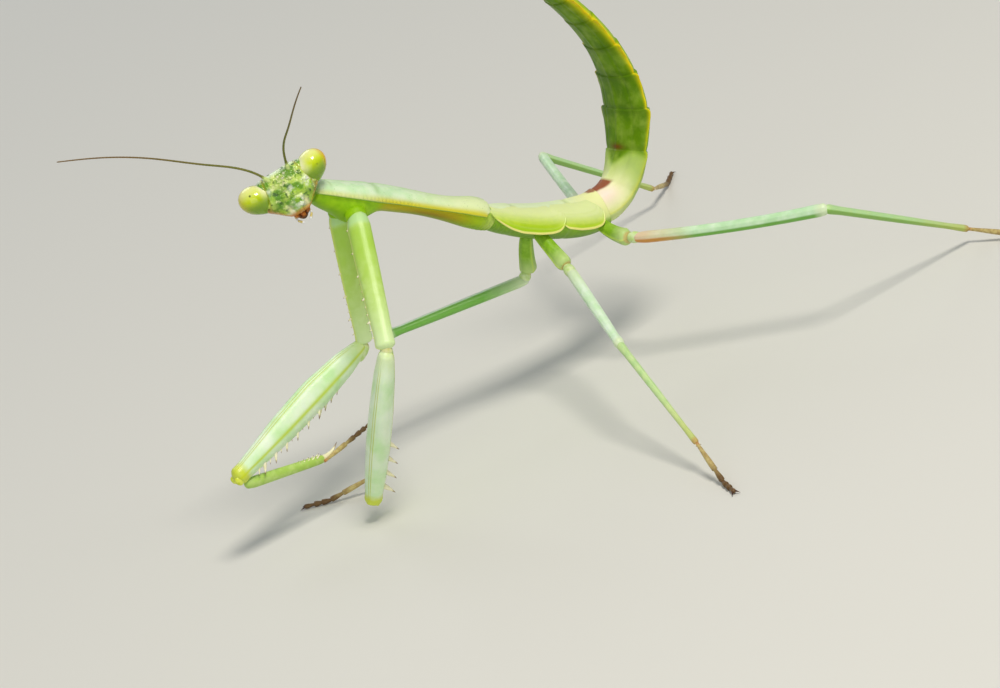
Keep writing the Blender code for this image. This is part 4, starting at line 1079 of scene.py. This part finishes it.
# Cercus cuticle: thin and dull, a greyer green than the abdomen.
cercus_look = cuticle("cercus_cuticle", "#7fa63a", "#96b254", size=0.3, rough=0.45)
share = np.linspace(0, 1, 90)
size = 0.2 * (1 - 0.75 * share ** 1.5) * (0.86 + 0.14 * np.abs(np.sin(10 * np.pi * share)))
size *= np.sqrt(np.clip(1 - share ** 12, 0.01, 1))
for name, hand in SIDES:
    out = tail_way * np.cos(SPLAY) + np.array([hand, 0, 0]) * np.sin(SPLAY)
    start = tail + tail_way * 0.02 + np.array([hand * 0.34, 0, 0])
    path = start + out * (CERCUS_LENGTH * share)[:, None]
    skin(f"cercus_{name}_beads", tube(path, tail_up, size, 32), cercus_look, share,
         [f"cercus_{name}"])

# ------------------------------
# Stage. A floor of pale matt card under an even pale sky, the camera, and three soft square
# lights. None of it is part of the mantis.
# ------------------------------
scene = bpy.context.scene
mesh = bpy.data.meshes.new("floor")
mesh.from_pydata([(-2, -2, 0), (2, -2, 0), (2, 2, 0), (-2, 2, 0)], [], [(0, 1, 2, 3)])
floor = bpy.data.objects.new("floor", mesh)
scene.collection.objects.link(floor)
floor_paint = bpy.data.materials.new("matt_card")
floor_paint.use_nodes = True
card = floor_paint.node_tree.nodes["Principled BSDF"].inputs
card["Base Color"].default_value, card["Roughness"].default_value = colour("#dcdcd6"), 0.85
mesh.materials.append(floor_paint)

world = bpy.data.worlds.new("studio")
world.use_nodes = True
sky = world.node_tree.nodes["Background"].inputs
sky["Color"].default_value, sky["Strength"].default_value = colour("#eef1f4"), 0.36
scene.world = world
scene.view_settings.view_transform = "Standard"

CAMERA_AT, CAMERA_LOOK = np.array([164.20, -97.60, 74.11]), np.array([-0.816, 0.464, -0.345])
CAMERA_ROLL, FOCAL_LENGTH, SENSOR_WIDTH = np.radians(20.6), 144, 36
gaze = unit(CAMERA_LOOK)
right = unit(np.cross(gaze, UPWARD))
right, above = turned(right, np.cross(right, gaze), CAMERA_ROLL)
lens = bpy.data.cameras.new("camera")
lens.lens, lens.sensor_width, lens.clip_start = FOCAL_LENGTH, SENSOR_WIDTH, 0.005
camera = bpy.data.objects.new("camera", lens)
camera.matrix_world = Matrix.Translation(Vector(CAMERA_AT * MM)) @ Matrix(
    np.stack([right, above, -gaze], 1).tolist()).to_4x4()
scene.collection.objects.link(camera)
scene.camera = camera

# Each light's place in metres, width, power and colour; all face the mantis.
for name, at, size, power, tint in (
        ("key", (0.15, 0.01, 0.27), 0.08, 0.60, "#fff8ec"),
        ("fill", (0.25, -0.22, 0.12), 0.25, 0.26, "#fbfaf5"),
        ("rim", (-0.25, 0.05, 0.18), 0.15, 0.12, "#f4f8ff")):
    light = bpy.data.lights.new(name, "AREA")
    light.size, light.energy, light.color = size, power, colour(tint)[:3]
    lamp = bpy.data.objects.new(name, light)
    lamp.location = at
    lamp.rotation_euler = (Vector((0, 0, 0.01)) - Vector(at)).to_track_quat("-Z", "Y").to_euler()
    scene.collection.objects.link(lamp)
